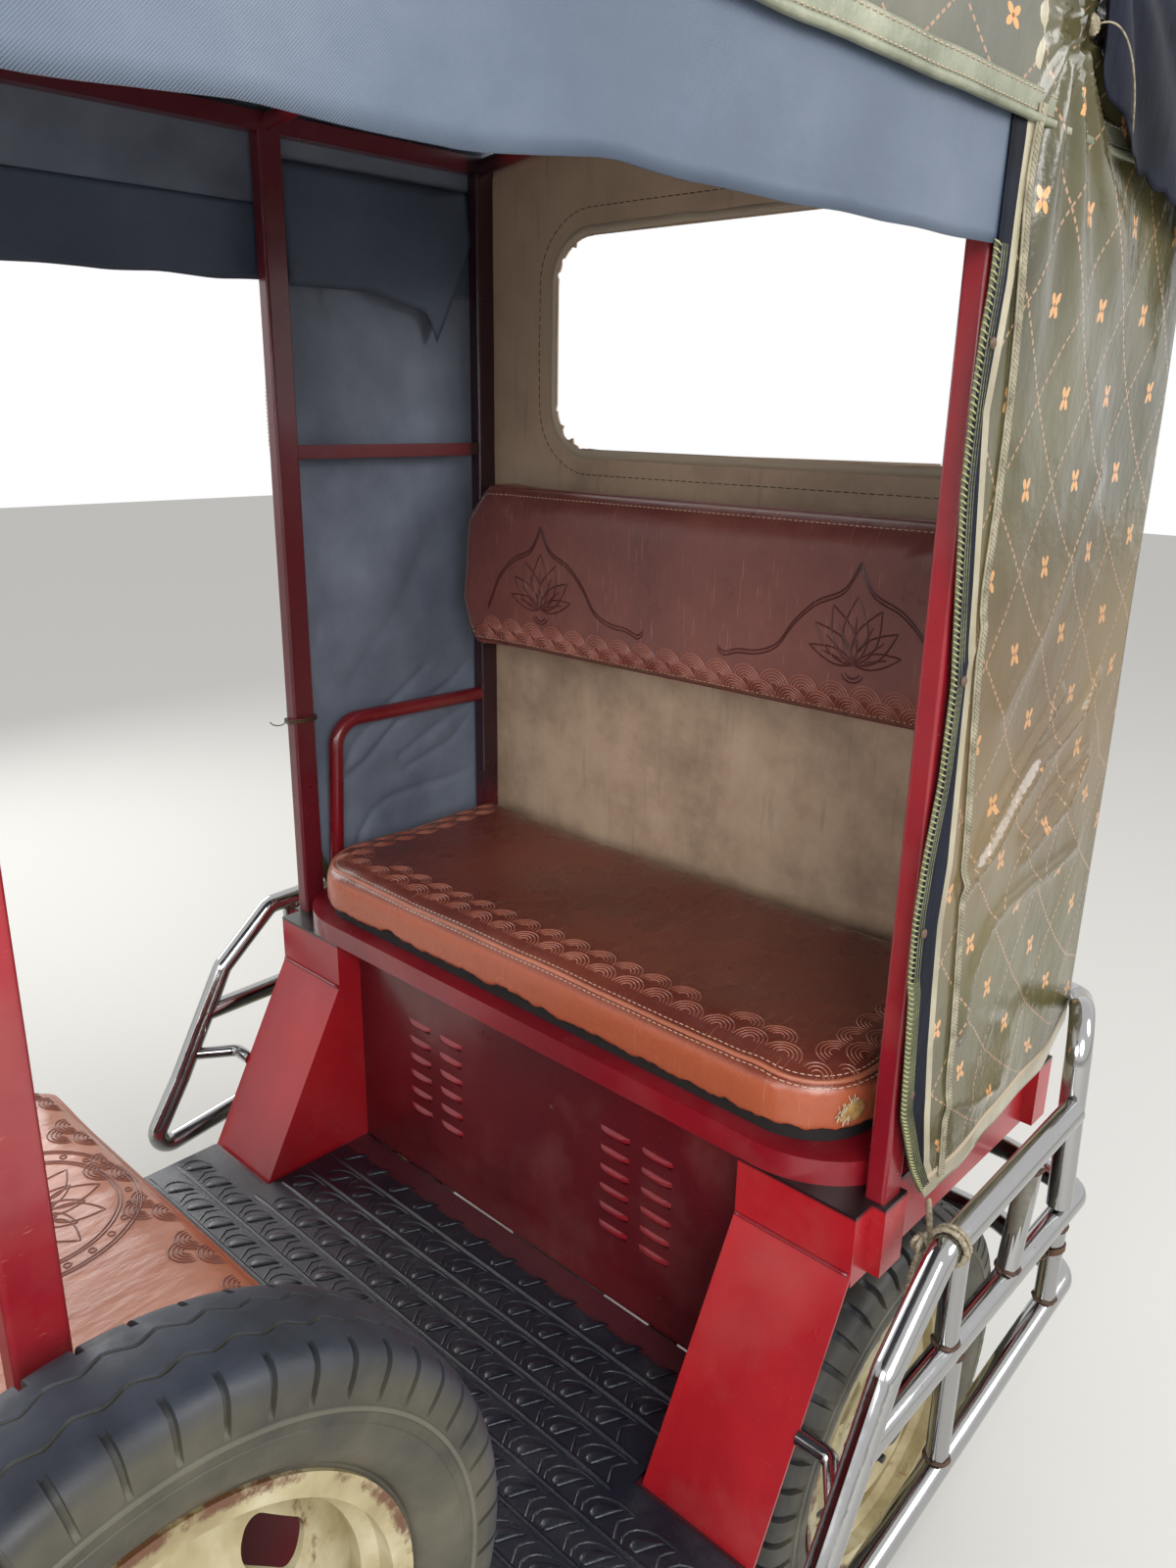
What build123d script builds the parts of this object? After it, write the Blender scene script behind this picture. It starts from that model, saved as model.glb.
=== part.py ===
from build123d import *
from math import cos, radians, sin
import os

os.makedirs("parts", exist_ok=True)

# Driving dimensions, in millimetres.
# The origin is on the ground, in the middle of the overall length and width. +X forward, +Y left, +Z up.
SHEET = 3
FLOOR_TOP = 285
MAT_T = 5
MAT_TOP = FLOOR_TOP + MAT_T
BENCH_X = -810
REAR_X = -1205
SHELF_TOP = 640
SHELF_T = 28
SHELF_FRONT_X = -772
HALF_BODY = 489
ARCH_IN = 350
ARCH_TOP_X = -773
ARCH_TOP_Z = 545
ARCH_FOOT_X = -636

WHEEL_R = 250
TYRE_HALF = 50
RIM_R = 168
BEAD_R = 156
REAR_AXLE_X = -915
REAR_WHEEL_Y = 445
FRONT_AXLE_X = 1035
RAKE = 22
FORK_OFFSET = 40

POST_Y = 487
POST_L = 34
POST_W = 22
FRONT_POST_X = -825
REAR_POST_X = -1185
DRIVER_POST_X = -95
DRIVER_POST_Y = 330
RAIL_Z = 1685
CROWN_Z = 1722
SCREEN_TOP_X = 714
ROOF_HALF = 503
PIPING_Z = 1573
VALANCE_Z = 1470

GUARD_Y = 565
GUARD_R = 14
GUARD_FRONT_X = -560
BUMPER_X = -1271

SPARE_AXLE = (-100, 412, 600)


def keep(builder, name):
    """Labels a finished sub-part and writes its STEP file."""
    builder.part.label = name
    export_step(builder.part, f"parts/{name}.step")


def block(x, y, z):
    """A box between two corner values on each axis, in the active part."""
    with Locations(((x[0] + x[1]) / 2, (y[0] + y[1]) / 2, (z[0] + z[1]) / 2)):
        Box(abs(x[1] - x[0]), abs(y[1] - y[0]), abs(z[1] - z[0]))


def tube(points, radius, bend=0):
    """A round tube along straight runs joined by tangent bends, in the active part."""
    with BuildLine() as path:
        if bend:
            FilletPolyline(*points, radius=bend)
        else:
            Polyline(*points)
    with BuildSketch(Plane(origin=path.line @ 0, z_dir=path.line % 0)) as section:
        Circle(radius)
    sweep(section.sketch, path=path.line)


def side_plate(points, y0, y1):
    """A plate drawn in side view as (X, Z) points and pushed across from y0 to y1, in the active part."""
    with BuildSketch(Plane(origin=(0, y0, 0), x_dir=(1, 0, 0), z_dir=(0, -1, 0))) as section:
        with BuildLine():
            Polyline(*points, close=True)
        make_face()
    extrude(section.sketch, amount=y0 - y1)


def rounded_post(x, y, z0, z1):
    """An upright of rectangular tube with softened corners, in the active part."""
    with BuildSketch(Plane.XY.offset(z0)) as section:
        with Locations((x, y)):
            RectangleRounded(POST_L, POST_W, 4)
    extrude(section.sketch, amount=z1 - z0)


# Wheels: narrow road tyres on pressed steel drop-centre rims with four cut-outs, bolted to drums.
def wheel_plane(centre):
    """Axial distance along local x, radius along local y."""
    return Plane(origin=centre, x_dir=(0, 1, 0), z_dir=(-1, 0, 0))


def axle_line(centre):
    return Axis(centre, (0, 1, 0))


def make_tyre(name, centre):
    with BuildPart() as tyre:
        with BuildSketch(wheel_plane(centre)):
            with BuildLine():
                Polyline((-34, 171), (-34, BEAD_R), (34, BEAD_R), (34, 171))
                ThreePointArc((34, 171), (TYRE_HALF, 206), (44, 237))
                Line((44, 237), (38, 245))
                ThreePointArc((38, 245), (0, WHEEL_R), (-38, 245))
                Line((-38, 245), (-44, 237))
                ThreePointArc((-44, 237), (-TYRE_HALF, 206), (-34, 171))
            make_face()
            with Locations((-15, WHEEL_R), (15, WHEEL_R)):
                Rectangle(4, 14, mode=Mode.SUBTRACT)
        revolve(axis=axle_line(centre))
    keep(tyre, name)


def make_rim(name, centre, side):
    with BuildPart() as rim:
        with BuildSketch(wheel_plane(centre)):
            with BuildLine():
                Polyline(
                    (-38, RIM_R), (-34, RIM_R), (-34, BEAD_R), (-20, BEAD_R), (-13, 146),
                    (13, 146), (20, BEAD_R), (34, BEAD_R), (34, RIM_R), (38, RIM_R),
                    (38, 152), (22, 152), (15, 142), (-15, 142), (-22, 152), (-38, 152),
                    close=True,
                )
            make_face()
            with BuildLine():
                Polyline(
                    (side * -2, 143), (side * 10, 118), (side * 20, 100), (side * 14, 72), (side * 14, 38),
                    (side * 18, 38), (side * 18, 73), (side * 25, 101), (side * 14, 120), (side * 3, 143),
                    close=True,
                )
            make_face()
        revolve(axis=axle_line(centre))
        with BuildSketch(Plane(origin=centre, x_dir=(1, 0, 0), z_dir=(0, side, 0))):
            with PolarLocations(112, 4, start_angle=45):
                RectangleRounded(26, 56, 12)
        extrude(amount=40, mode=Mode.SUBTRACT)
    keep(rim, name)


def make_drum(name, centre, side, bore):
    """Brake drum and hub with wheel nuts and, on a driven wheel, the axle's cap."""
    face = Plane(origin=(centre[0], centre[1] + side * 18, centre[2]), x_dir=(1, 0, 0), z_dir=(0, side, 0))
    with BuildPart() as drum:
        with BuildSketch(wheel_plane(centre)):
            with BuildLine():
                Polyline(
                    (side * -52, bore), (side * -26, bore), (side * -26, 70), (side * -52, 70), (side * -52, 80),
                    (side * -10, 80), (side * 14, 66), (side * 14, 37.9), (side * 34, 37.9),
                    (side * 34, 26), (side * 46, 20), (side * 46, bore),
                    close=True,
                )
            make_face()
        revolve(axis=axle_line(centre))
        with BuildSketch(face):
            with PolarLocations(54, 4):
                RegularPolygon(9, 6)
        extrude(amount=10)
        with BuildSketch(face):
            with PolarLocations(54, 4):
                Circle(5)
        extrude(amount=18)
    keep(drum, name)


HUB_BORE = 12.05
for side, word in ((1, "left"), (-1, "right")):
    hub = (REAR_AXLE_X, side * REAR_WHEEL_Y, WHEEL_R)
    make_tyre(f"rear_tyre_{word}", hub)
    make_rim(f"rear_rim_{word}", hub, side)
    make_drum(f"rear_drum_{word}", hub, side, HUB_BORE)
front_hub = (FRONT_AXLE_X, 0, WHEEL_R)
make_tyre("front_tyre", front_hub)
make_rim("front_rim", front_hub, 1)
make_drum("front_drum", front_hub, 1, HUB_BORE)
make_tyre("spare_tyre", SPARE_AXLE)
make_rim("spare_rim", SPARE_AXLE, 1)


# Chassis: two main rails kicked up over the rear axle, cross members and a neck to the steering head.
STEER = Plane(
    origin=(FRONT_AXLE_X - FORK_OFFSET * cos(radians(RAKE)), 0, WHEEL_R - FORK_OFFSET * sin(radians(RAKE))),
    x_dir=(cos(radians(RAKE)), 0, sin(radians(RAKE))),
    z_dir=(-sin(radians(RAKE)), 0, cos(radians(RAKE))),
)
STEERER_R = 15
HEAD_BORE = 15.06
HEAD_BOTTOM = 395
HEAD_TOP = 560
RAIL_Y = 230
RAIL_HALF = 20
RAIL_TOP = FLOOR_TOP - SHEET
RAIL_LOW = RAIL_TOP - 50
KICK_LOW = 345
KICK_TOP = 385
CROSS_MEMBERS = ((-735, 345), (-300, 470), (60, 455), (400, 430))
with BuildPart() as chassis_frame:
    for y in (-RAIL_Y, RAIL_Y):
        side_plate(
            (
                (640, RAIL_TOP), (640, RAIL_LOW), (-790, RAIL_LOW), (-866, KICK_LOW), (-1200, KICK_LOW),
                (-1200, KICK_TOP), (-885, KICK_TOP), (-818, RAIL_TOP),
            ),
            y - RAIL_HALF, y + RAIL_HALF,
        )
    for x, half in CROSS_MEMBERS:
        block((x - 20, x + 20), (-half, half), (RAIL_TOP - 30, RAIL_TOP))
    block((-920, -885), (-RAIL_Y, RAIL_Y), (KICK_LOW + 5, KICK_TOP))
    block((-1200, -1178), (-ARCH_IN, ARCH_IN), (KICK_LOW, KICK_TOP))
    block((600, 640), (-RAIL_Y, RAIL_Y), (RAIL_LOW, RAIL_TOP))
    for side in (-1, 1):
        tube(((620, side * 60, RAIL_TOP - 20), (628, side * 60, 560), (790, side * 22, 690)), 18, 60)
    with BuildSketch(STEER.offset(HEAD_BOTTOM)):
        Circle(26)
    extrude(amount=HEAD_TOP - HEAD_BOTTOM)
    with BuildSketch(STEER.offset(HEAD_BOTTOM)):
        Circle(HEAD_BORE)
    extrude(amount=HEAD_TOP - HEAD_BOTTOM, mode=Mode.SUBTRACT)
    with BuildSketch(STEER.offset(HEAD_TOP)):
        Circle(HEAD_BORE)
    extrude(amount=200, mode=Mode.SUBTRACT)
keep(chassis_frame, "chassis_frame")

# Floor: pressed steel tray from the bench to the leg panel, narrowing towards the front.
FLOOR_OUTLINE = (
    (BENCH_X + SHEET, -ARCH_IN), (ARCH_FOOT_X, -ARCH_IN), (ARCH_FOOT_X, -HALF_BODY), (0, -HALF_BODY),
    (560, -430), (680, -390), (680, 390), (560, 430), (0, HALF_BODY), (ARCH_FOOT_X, HALF_BODY),
    (ARCH_FOOT_X, ARCH_IN), (BENCH_X + SHEET, ARCH_IN),
)
SILL_DROP = 40
with BuildPart() as floor_pan:
    with BuildSketch(Plane.XY.offset(FLOOR_TOP - SHEET)):
        with BuildLine():
            Polyline(*FLOOR_OUTLINE, close=True)
        make_face()
    extrude(amount=SHEET)
    for side in (-1, 1):
        for a, b in (((ARCH_FOOT_X, HALF_BODY), (0, HALF_BODY)), ((0, HALF_BODY), (560, 430)), ((560, 430), (680, 390))):
            with BuildSketch(Plane.XY.offset(FLOOR_TOP - SILL_DROP)):
                with BuildLine():
                    Polyline(
                        (a[0], side * a[1]), (b[0], side * b[1]), (b[0], side * (b[1] - SHEET)),
                        (a[0], side * (a[1] - SHEET)), close=True,
                    )
                make_face()
            extrude(amount=SILL_DROP)
    with BuildSketch(Plane.XY.offset(FLOOR_TOP - SHEET - 1)):
        with Locations((624, 0)):
            RectangleRounded(70, 180, 20)
    extrude(amount=SHEET + 2, mode=Mode.SUBTRACT)
keep(floor_pan, "floor_pan")

# Floor mat: ribbed rubber, laid on the tray in the passengers' foot well.
MAT_FRONT_X = -345
MAT_REAR_X = -765
MAT_EDGE = 6
with BuildPart() as floor_mat:
    with BuildSketch(Plane.XY.offset(FLOOR_TOP)):
        with BuildLine():
            Polyline(
                (MAT_REAR_X, -ARCH_IN + MAT_EDGE), (ARCH_FOOT_X + 8, -ARCH_IN + MAT_EDGE),
                (ARCH_FOOT_X + 8, -HALF_BODY + MAT_EDGE), (MAT_FRONT_X, -HALF_BODY + MAT_EDGE),
                (MAT_FRONT_X, HALF_BODY - MAT_EDGE), (ARCH_FOOT_X + 8, HALF_BODY - MAT_EDGE),
                (ARCH_FOOT_X + 8, ARCH_IN - MAT_EDGE), (MAT_REAR_X, ARCH_IN - MAT_EDGE), close=True,
            )
        make_face()
    extrude(amount=MAT_T)
keep(floor_mat, "floor_mat")

# Bench box: folded sheet front with louvres, sides and floor, holding the batteries.
LOUVRE = dict(count=6, pitch=27, length=44, height=7, first_z=385, columns=(150, 215))
BOX_FLOOR = KICK_TOP
with BuildPart() as bench_box:
    block((BENCH_X - SHEET, BENCH_X), (-ARCH_IN, ARCH_IN), (FLOOR_TOP, SHELF_TOP - SHELF_T))
    for side in (-1, 1):
        block((-1196, BENCH_X - SHEET), (side * ARCH_IN, side * (ARCH_IN - SHEET)), (BOX_FLOOR, SHELF_TOP - SHELF_T))
    block((-1196, BENCH_X - SHEET), (-ARCH_IN + SHEET, ARCH_IN - SHEET), (BOX_FLOOR, BOX_FLOOR + SHEET))
    block((-1199, -1196), (-ARCH_IN, ARCH_IN), (BOX_FLOOR, SHELF_TOP - SHELF_T))
    for row in range(LOUVRE["count"]):
        for column in LOUVRE["columns"]:
            for side in (-1, 1):
                with BuildSketch(Plane(
                    origin=(BENCH_X + 1, side * column, LOUVRE["first_z"] + row * LOUVRE["pitch"]),
                    x_dir=(0, 1, 0), z_dir=(1, 0, 0),
                )):
                    SlotOverall(LOUVRE["length"], LOUVRE["height"], rotation=0)
                extrude(amount=-SHEET - 2, mode=Mode.SUBTRACT)
keep(bench_box, "bench_box")

# Battery pack: lead-acid batteries side by side, one plain mass.
with BuildPart() as battery_pack:
    block((-1130, -850), (-330, 330), (BOX_FLOOR + SHEET, BOX_FLOOR + SHEET + 205))
keep(battery_pack, "battery_pack")

# Bench shelf: red pressed tray with a turned-down rim and round front corners.
SHELF_CORNER = 120
with BuildPart() as bench_shelf:
    with BuildSketch(Plane.XY.offset(SHELF_TOP - SHELF_T)):
        with Locations(((REAR_X + SHEET + SHELF_FRONT_X) / 2, 0)):
            Rectangle(SHELF_FRONT_X - REAR_X - SHEET, 2 * HALF_BODY)
    extrude(amount=SHELF_T)
    corners = bench_shelf.edges().filter_by(Axis.Z).group_by(Axis.X)[-1]
    fillet(corners, SHELF_CORNER)
    under = bench_shelf.faces().sort_by(Axis.Z)[0]
    with BuildSketch(under) as inside:
        add(under)
        offset(amount=-SHEET, kind=Kind.INTERSECTION, mode=Mode.REPLACE)
    extrude(amount=-SHELF_T + SHEET, mode=Mode.SUBTRACT)
    for x in (FRONT_POST_X, REAR_POST_X):
        for side in (-1, 1):
            with BuildSketch(Plane.XY.offset(SHELF_TOP - SHELF_T - 1)):
                with Locations((x, side * POST_Y)):
                    RectangleRounded(POST_L, POST_W, 4)
            extrude(amount=SHELF_T + 2, mode=Mode.SUBTRACT)
keep(bench_shelf, "bench_shelf")

# Wheel arches: sheet boxes beside the bench, with a sloping toe panel, a skirt over each wheel and post sockets.
SKIRT_Z = 530
ARCH_OUT = HALF_BODY - 0.5
ARCH_CEIL = SHELF_TOP - SHELF_T
ARCH_MID_X = ARCH_TOP_X - SHEET / 2
SOCKETS = ((FRONT_POST_X, -21, 21), (REAR_POST_X, -14, 22))
with BuildPart() as wheel_arches:
    for side in (-1, 1):
        lo, hi = sorted((side * ARCH_IN, side * ARCH_OUT))
        side_plate(
            (
                (ARCH_FOOT_X, FLOOR_TOP), (ARCH_TOP_X, ARCH_TOP_Z), (ARCH_TOP_X, ARCH_CEIL),
                (ARCH_TOP_X - SHEET, ARCH_CEIL), (ARCH_TOP_X - SHEET, ARCH_TOP_Z - 1), (ARCH_FOOT_X - 3.5, FLOOR_TOP),
            ),
            lo, hi,
        )
        lo, hi = sorted((side * ARCH_IN, side * (ARCH_IN + SHEET)))
        side_plate(
            (
                (ARCH_FOOT_X - 2, FLOOR_TOP), (ARCH_MID_X, ARCH_TOP_Z - 1), (ARCH_MID_X, ARCH_CEIL),
                (BENCH_X, ARCH_CEIL), (BENCH_X, FLOOR_TOP),
            ),
            lo, hi,
        )
        block((-1196, ARCH_MID_X), (side * (ARCH_OUT - SHEET), side * ARCH_OUT), (SKIRT_Z, ARCH_CEIL))
        block((-1196, ARCH_MID_X), (side * ARCH_IN, side * (ARCH_OUT - 1)), (ARCH_CEIL - SHEET, ARCH_CEIL))
        for x, back, front in SOCKETS:
            block((x + back, x + front), (side * (POST_Y - 16), side * (POST_Y + 16)), (SKIRT_Z + 2, ARCH_CEIL))
            with BuildSketch(Plane.XY.offset(SKIRT_Z - 2)):
                with Locations((x, side * POST_Y)):
                    RectangleRounded(POST_L, POST_W, 4)
            extrude(amount=200, mode=Mode.SUBTRACT)
keep(wheel_arches, "wheel_arches")

# Seat cushion and backrest: upholstered boards, soft solids.
CUSHION = dict(x=(-1178, -768), half=470, z=(SHELF_TOP, 722), corner=110, edge=26)
with BuildPart() as seat_cushion:
    with BuildSketch(Plane.XY.offset(CUSHION["z"][0])):
        with Locations((sum(CUSHION["x"]) / 2, 0)):
            Rectangle(CUSHION["x"][1] - CUSHION["x"][0], 2 * CUSHION["half"])
    extrude(amount=CUSHION["z"][1] - CUSHION["z"][0])
    fillet(seat_cushion.edges().filter_by(Axis.Z).group_by(Axis.X)[-1], CUSHION["corner"])
    fillet(seat_cushion.faces().sort_by(Axis.Z)[-1].edges(), CUSHION["edge"])
    fillet(seat_cushion.faces().sort_by(Axis.Z)[0].edges(), 12)
keep(seat_cushion, "seat_cushion")

BACKREST = dict(half=455, z=(985, 1245), x=(-1160, -1085))
with BuildPart() as backrest:
    with BuildSketch(Plane(origin=(BACKREST["x"][0], 0, 0), x_dir=(0, 1, 0), z_dir=(1, 0, 0))):
        with BuildLine():
            Polyline(
                (-430, 985), (430, 985), (455, 1060), (440, 1190), (395, 1245), (-395, 1245), (-440, 1190),
                (-455, 1060), close=True,
            )
        make_face()
    extrude(amount=BACKREST["x"][1] - BACKREST["x"][0])
    fillet(backrest.edges().filter_by(Axis.X), 24)
    fillet(backrest.faces().sort_by(Axis.X)[-1].edges(), 22)
    for y in (-300, 300):
        block((REAR_X + SHEET, BACKREST["x"][0]), (y - 15, y + 15), (1080, 1140))
keep(backrest, "backrest")

# Cabin frame: red posts, roof rails and bows, side rails, and the driver's posts with the spare wheel's plate.
BOW_X = (FRONT_POST_X, -460, DRIVER_POST_X, 320)
BOW_R = 11
CROSS_RAIL_Z = (1020, 1040)


def bow(x, z_rail, z_crown, half):
    """A roof bow: straight in its ends, tangent bends up to a level middle."""
    tube(((x, -half, z_rail), (x, -250, z_crown), (x, 250, z_crown), (x, half, z_rail)), BOW_R, 120)


with BuildPart() as cabin_frame:
    for side in (-1, 1):
        rounded_post(FRONT_POST_X, side * POST_Y, SKIRT_Z, RAIL_Z)
        rounded_post(REAR_POST_X, side * POST_Y, SKIRT_Z, RAIL_Z)
        rounded_post(DRIVER_POST_X, side * DRIVER_POST_Y, FLOOR_TOP, CROWN_Z - 20)
        block((REAR_POST_X, FRONT_POST_X), (side * POST_Y - 9, side * POST_Y + 9), (1271, 1289))
        block((REAR_POST_X - POST_L / 2, SCREEN_TOP_X + 4), (side * POST_Y - 11, side * POST_Y + 11), (RAIL_Z - 22, RAIL_Z))
    for x in BOW_X + (REAR_POST_X, SCREEN_TOP_X - 21):
        bow(x, RAIL_Z - 11, CROWN_Z - BOW_R - SHEET - 1, POST_Y)
    block((REAR_POST_X - 10, REAR_POST_X + 10), (-POST_Y, POST_Y), CROSS_RAIL_Z)
    block((DRIVER_POST_X - 60, DRIVER_POST_X + 60), (DRIVER_POST_Y + 11, DRIVER_POST_Y + 17), (540, 660))
    with BuildSketch(Plane(origin=(SPARE_AXLE[0], DRIVER_POST_Y + 17, SPARE_AXLE[2]), x_dir=(1, 0, 0), z_dir=(0, 1, 0))):
        Circle(36)
    extrude(amount=SPARE_AXLE[1] + 18 - DRIVER_POST_Y - 17)
    with BuildSketch(Plane(origin=(SPARE_AXLE[0], SPARE_AXLE[1], SPARE_AXLE[2]), x_dir=(1, 0, 0), z_dir=(0, 1, 0))):
        Circle(10)
    extrude(amount=60)
    with BuildSketch(Plane(origin=(SPARE_AXLE[0], SPARE_AXLE[1] + 18, SPARE_AXLE[2]), x_dir=(1, 0, 0), z_dir=(0, 1, 0))):
        Circle(60)
    extrude(amount=5)
keep(cabin_frame, "cabin_frame")

# Armrests: bent tube from the shelf beside each front post back to the rear post.
with BuildPart() as armrests:
    for side in (-1, 1):
        y = side * POST_Y
        tube(((-872, y, SHELF_TOP + 0.7), (-885, y, 893), (REAR_POST_X + POST_L / 2 + 0.2, y, 890)), 11, 40)
keep(armrests, "armrests")

# Rear panel: vinyl board closing the back, with a wide window cut through it.
WINDOW = dict(z=(1286, 1570), half=340, corner=62)
with BuildPart() as rear_panel:
    with BuildSketch(Plane(origin=(REAR_X, 0, 0), x_dir=(0, 1, 0), z_dir=(1, 0, 0))):
        with BuildLine():
            Polyline(
                (-498, 560), (498, 560), (498, 1668), (250, 1702), (-250, 1702), (-498, 1668), close=True,
            )
        make_face()
        with Locations((0, sum(WINDOW["z"]) / 2)):
            RectangleRounded(2 * WINDOW["half"], WINDOW["z"][1] - WINDOW["z"][0], WINDOW["corner"], mode=Mode.SUBTRACT)
    extrude(amount=SHEET)
keep(rear_panel, "rear_panel")

# Canopy: vinyl over the bows with a soft crown, its edges turned down over the rails as valances.
ROOF_REAR_X = REAR_X - SHEET - 2
ROOF_FRONT_X = 760
ROOF_PROFILE = (
    (-ROOF_HALF, VALANCE_Z), (-ROOF_HALF, 1690), (-480, 1699), (-250, CROWN_Z), (250, CROWN_Z),
    (480, 1699), (ROOF_HALF, 1690), (ROOF_HALF, VALANCE_Z),
    (ROOF_HALF - SHEET, VALANCE_Z), (ROOF_HALF - SHEET, 1687), (478, 1695), (250, CROWN_Z - SHEET),
    (-250, CROWN_Z - SHEET), (-478, 1695), (-ROOF_HALF + SHEET, 1687), (-ROOF_HALF + SHEET, VALANCE_Z),
)
with BuildPart() as canopy_roof:
    with BuildSketch(Plane(origin=(ROOF_REAR_X, 0, 0), x_dir=(0, 1, 0), z_dir=(1, 0, 0))):
        with BuildLine():
            Polyline(*ROOF_PROFILE, close=True)
        make_face()
    extrude(amount=ROOF_FRONT_X - ROOF_REAR_X)
    with BuildSketch(Plane(origin=(ROOF_FRONT_X, 0, 0), x_dir=(0, 1, 0), z_dir=(1, 0, 0))):
        with BuildLine():
            Polyline(
                (-ROOF_HALF, 1600), (-ROOF_HALF, 1690), (-480, 1699), (-250, CROWN_Z), (250, CROWN_Z),
                (480, 1699), (ROOF_HALF, 1690), (ROOF_HALF, 1600), close=True,
            )
        make_face()
    extrude(amount=SHEET)
keep(canopy_roof, "canopy_roof")

# Side curtains: vinyl sheets screwed to the front posts' outer faces and hanging back to the rear panel.
CURTAIN_Y = 506
CURTAIN_T = 3
with BuildPart() as side_curtains:
    for side in (-1, 1):
        side_plate(
            ((-815, 1640), (-812, 1100), (-824, 858), (-870, 586), (-1146, 621), (-1203, 662), (-1203, 1640)),
            side * CURTAIN_Y, side * (CURTAIN_Y + CURTAIN_T),
        )
keep(side_curtains, "side_curtains")

# Side guards: plated tube rails outside each rear wheel, with short welded links and ends turned inboard.
GUARD_LINKS = (
    ((-835, 465), (-835, 595)), ((-972, 470), (-1001, 597)), ((-852, 310), (-852, 458)), ((-1112, 346), (-1112, 462)),
)
LINK_R = 12
HOOP_X = -1110
RAIL_END_X = -1190
with BuildPart() as side_guards:
    for side in (-1, 1):
        y = side * GUARD_Y
        tube(
            (
                (HOOP_X + 7, y, 609), (-798, y, 600), (-711, y, 525), (-626, y, 368), (GUARD_FRONT_X, y, 262),
                (-1172, y, 349), (RAIL_END_X, side * 470, 365), (RAIL_END_X, side * ARCH_IN, 365),
            ),
            GUARD_R, 22,
        )
        tube(
            ((-672, y, 460), (-1172, y, 468), (RAIL_END_X, side * 470, 470), (RAIL_END_X, side * ARCH_IN, 470)),
            GUARD_R, 22,
        )
        for foot, head in GUARD_LINKS:
            tube(((foot[0], y, foot[1]), (head[0], y, head[1])), LINK_R)
        tube(((-702, side * (HALF_BODY - 0.5), 401), (-702, side * 525, 401), (-644, y, 401)), 9, 18)
keep(side_guards, "side_guards")

# Rear bumper: tube hoop across the back, its legs standing on the guards' middle rails.
HOOP = ((HOOP_X, GUARD_Y, 482.6), (-1130, 552, 712), (BUMPER_X, 500, 664))
with BuildPart() as rear_bumper:
    tube(HOOP + tuple((x, -y, z) for x, y, z in HOOP[::-1]), GUARD_R, 45)
keep(rear_bumper, "rear_bumper")

# Curtain rope: cord pulled tight from the left curtain's front hem to the guard's top rail.
with BuildPart() as curtain_rope:
    tube(((-872, 514.3, 592), (-816, 545, 593)), 5)
keep(curtain_rope, "curtain_rope")

# Rear axle, leaf springs and drive motor.
SPRING_Y = 290
with BuildPart() as rear_axle:
    with BuildSketch(Plane(origin=(REAR_AXLE_X, -(REAR_WHEEL_Y + 44), WHEEL_R), x_dir=(1, 0, 0), z_dir=(0, 1, 0))):
        Circle(12)
    extrude(amount=2 * (REAR_WHEEL_Y + 44))
    with BuildSketch(Plane(origin=(REAR_AXLE_X, -385, WHEEL_R), x_dir=(1, 0, 0), z_dir=(0, 1, 0))):
        Circle(25)
    extrude(amount=770)
    with BuildSketch(Plane(origin=(REAR_AXLE_X, -50, WHEEL_R), x_dir=(1, 0, 0), z_dir=(0, 1, 0))):
        Circle(85)
    extrude(amount=100)
    for side in (-1, 1):
        with BuildSketch(Plane(origin=(REAR_AXLE_X, side * 385, WHEEL_R), x_dir=(1, 0, 0), z_dir=(0, side, 0))):
            Circle(60)
        extrude(amount=20)
keep(rear_axle, "rear_axle")

with BuildPart() as drive_motor:
    block((-1170, -1000), (-70, 70), (190, 330))
keep(drive_motor, "drive_motor")

with BuildPart() as leaf_springs:
    for side in (-1, 1):
        for level, reach in enumerate((250, 205, 160, 115)):
            drop = 40 * (1 - (reach / 250) ** 2)
            top = 222 - 7 * level
            with BuildSketch(Plane(origin=(REAR_AXLE_X, side * SPRING_Y - 25, 0), x_dir=(1, 0, 0), z_dir=(0, -1, 0))):
                with BuildLine():
                    ends = 40 * (reach / 250) ** 2
                    ThreePointArc((-reach, top + ends), (0, top), (reach, top + ends))
                    Line((reach, top + ends), (reach, top + ends - 7))
                    ThreePointArc((reach, top + ends - 7), (0, top - 7), (-reach, top + ends - 7))
                    Line((-reach, top + ends - 7), (-reach, top + ends))
                make_face()
            extrude(amount=-50)
        block((REAR_AXLE_X - 35, REAR_AXLE_X + 35), (side * SPRING_Y - 30, side * SPRING_Y + 30), (188, 225))
        block((-1175, -1150), (side * SPRING_Y - 25, side * SPRING_Y + 25), (250, KICK_LOW))
        block((-685, -660), (side * SPRING_Y - 25, side * SPRING_Y + 25), (250, RAIL_TOP))
        block((-685, -660), (side * (RAIL_Y + RAIL_HALF), side * (SPRING_Y - 25)), (RAIL_TOP - 30, RAIL_TOP))
        block((-1175, -1150), (side * (RAIL_Y + RAIL_HALF), side * (SPRING_Y + 25)), (KICK_LOW, KICK_TOP - 10))
keep(leaf_springs, "leaf_springs")

# Driver's seat: sheet box on the floor and an upholstered cushion.
SEAT = dict(x=(-330, 20), half=285, top=545, wall=SHEET)
with BuildPart() as driver_seat_base:
    block(SEAT["x"], (-SEAT["half"], SEAT["half"]), (FLOOR_TOP, SEAT["top"]))
    offset(amount=-SHEET, openings=driver_seat_base.faces().sort_by(Axis.Z)[0])
keep(driver_seat_base, "driver_seat_base")

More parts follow.
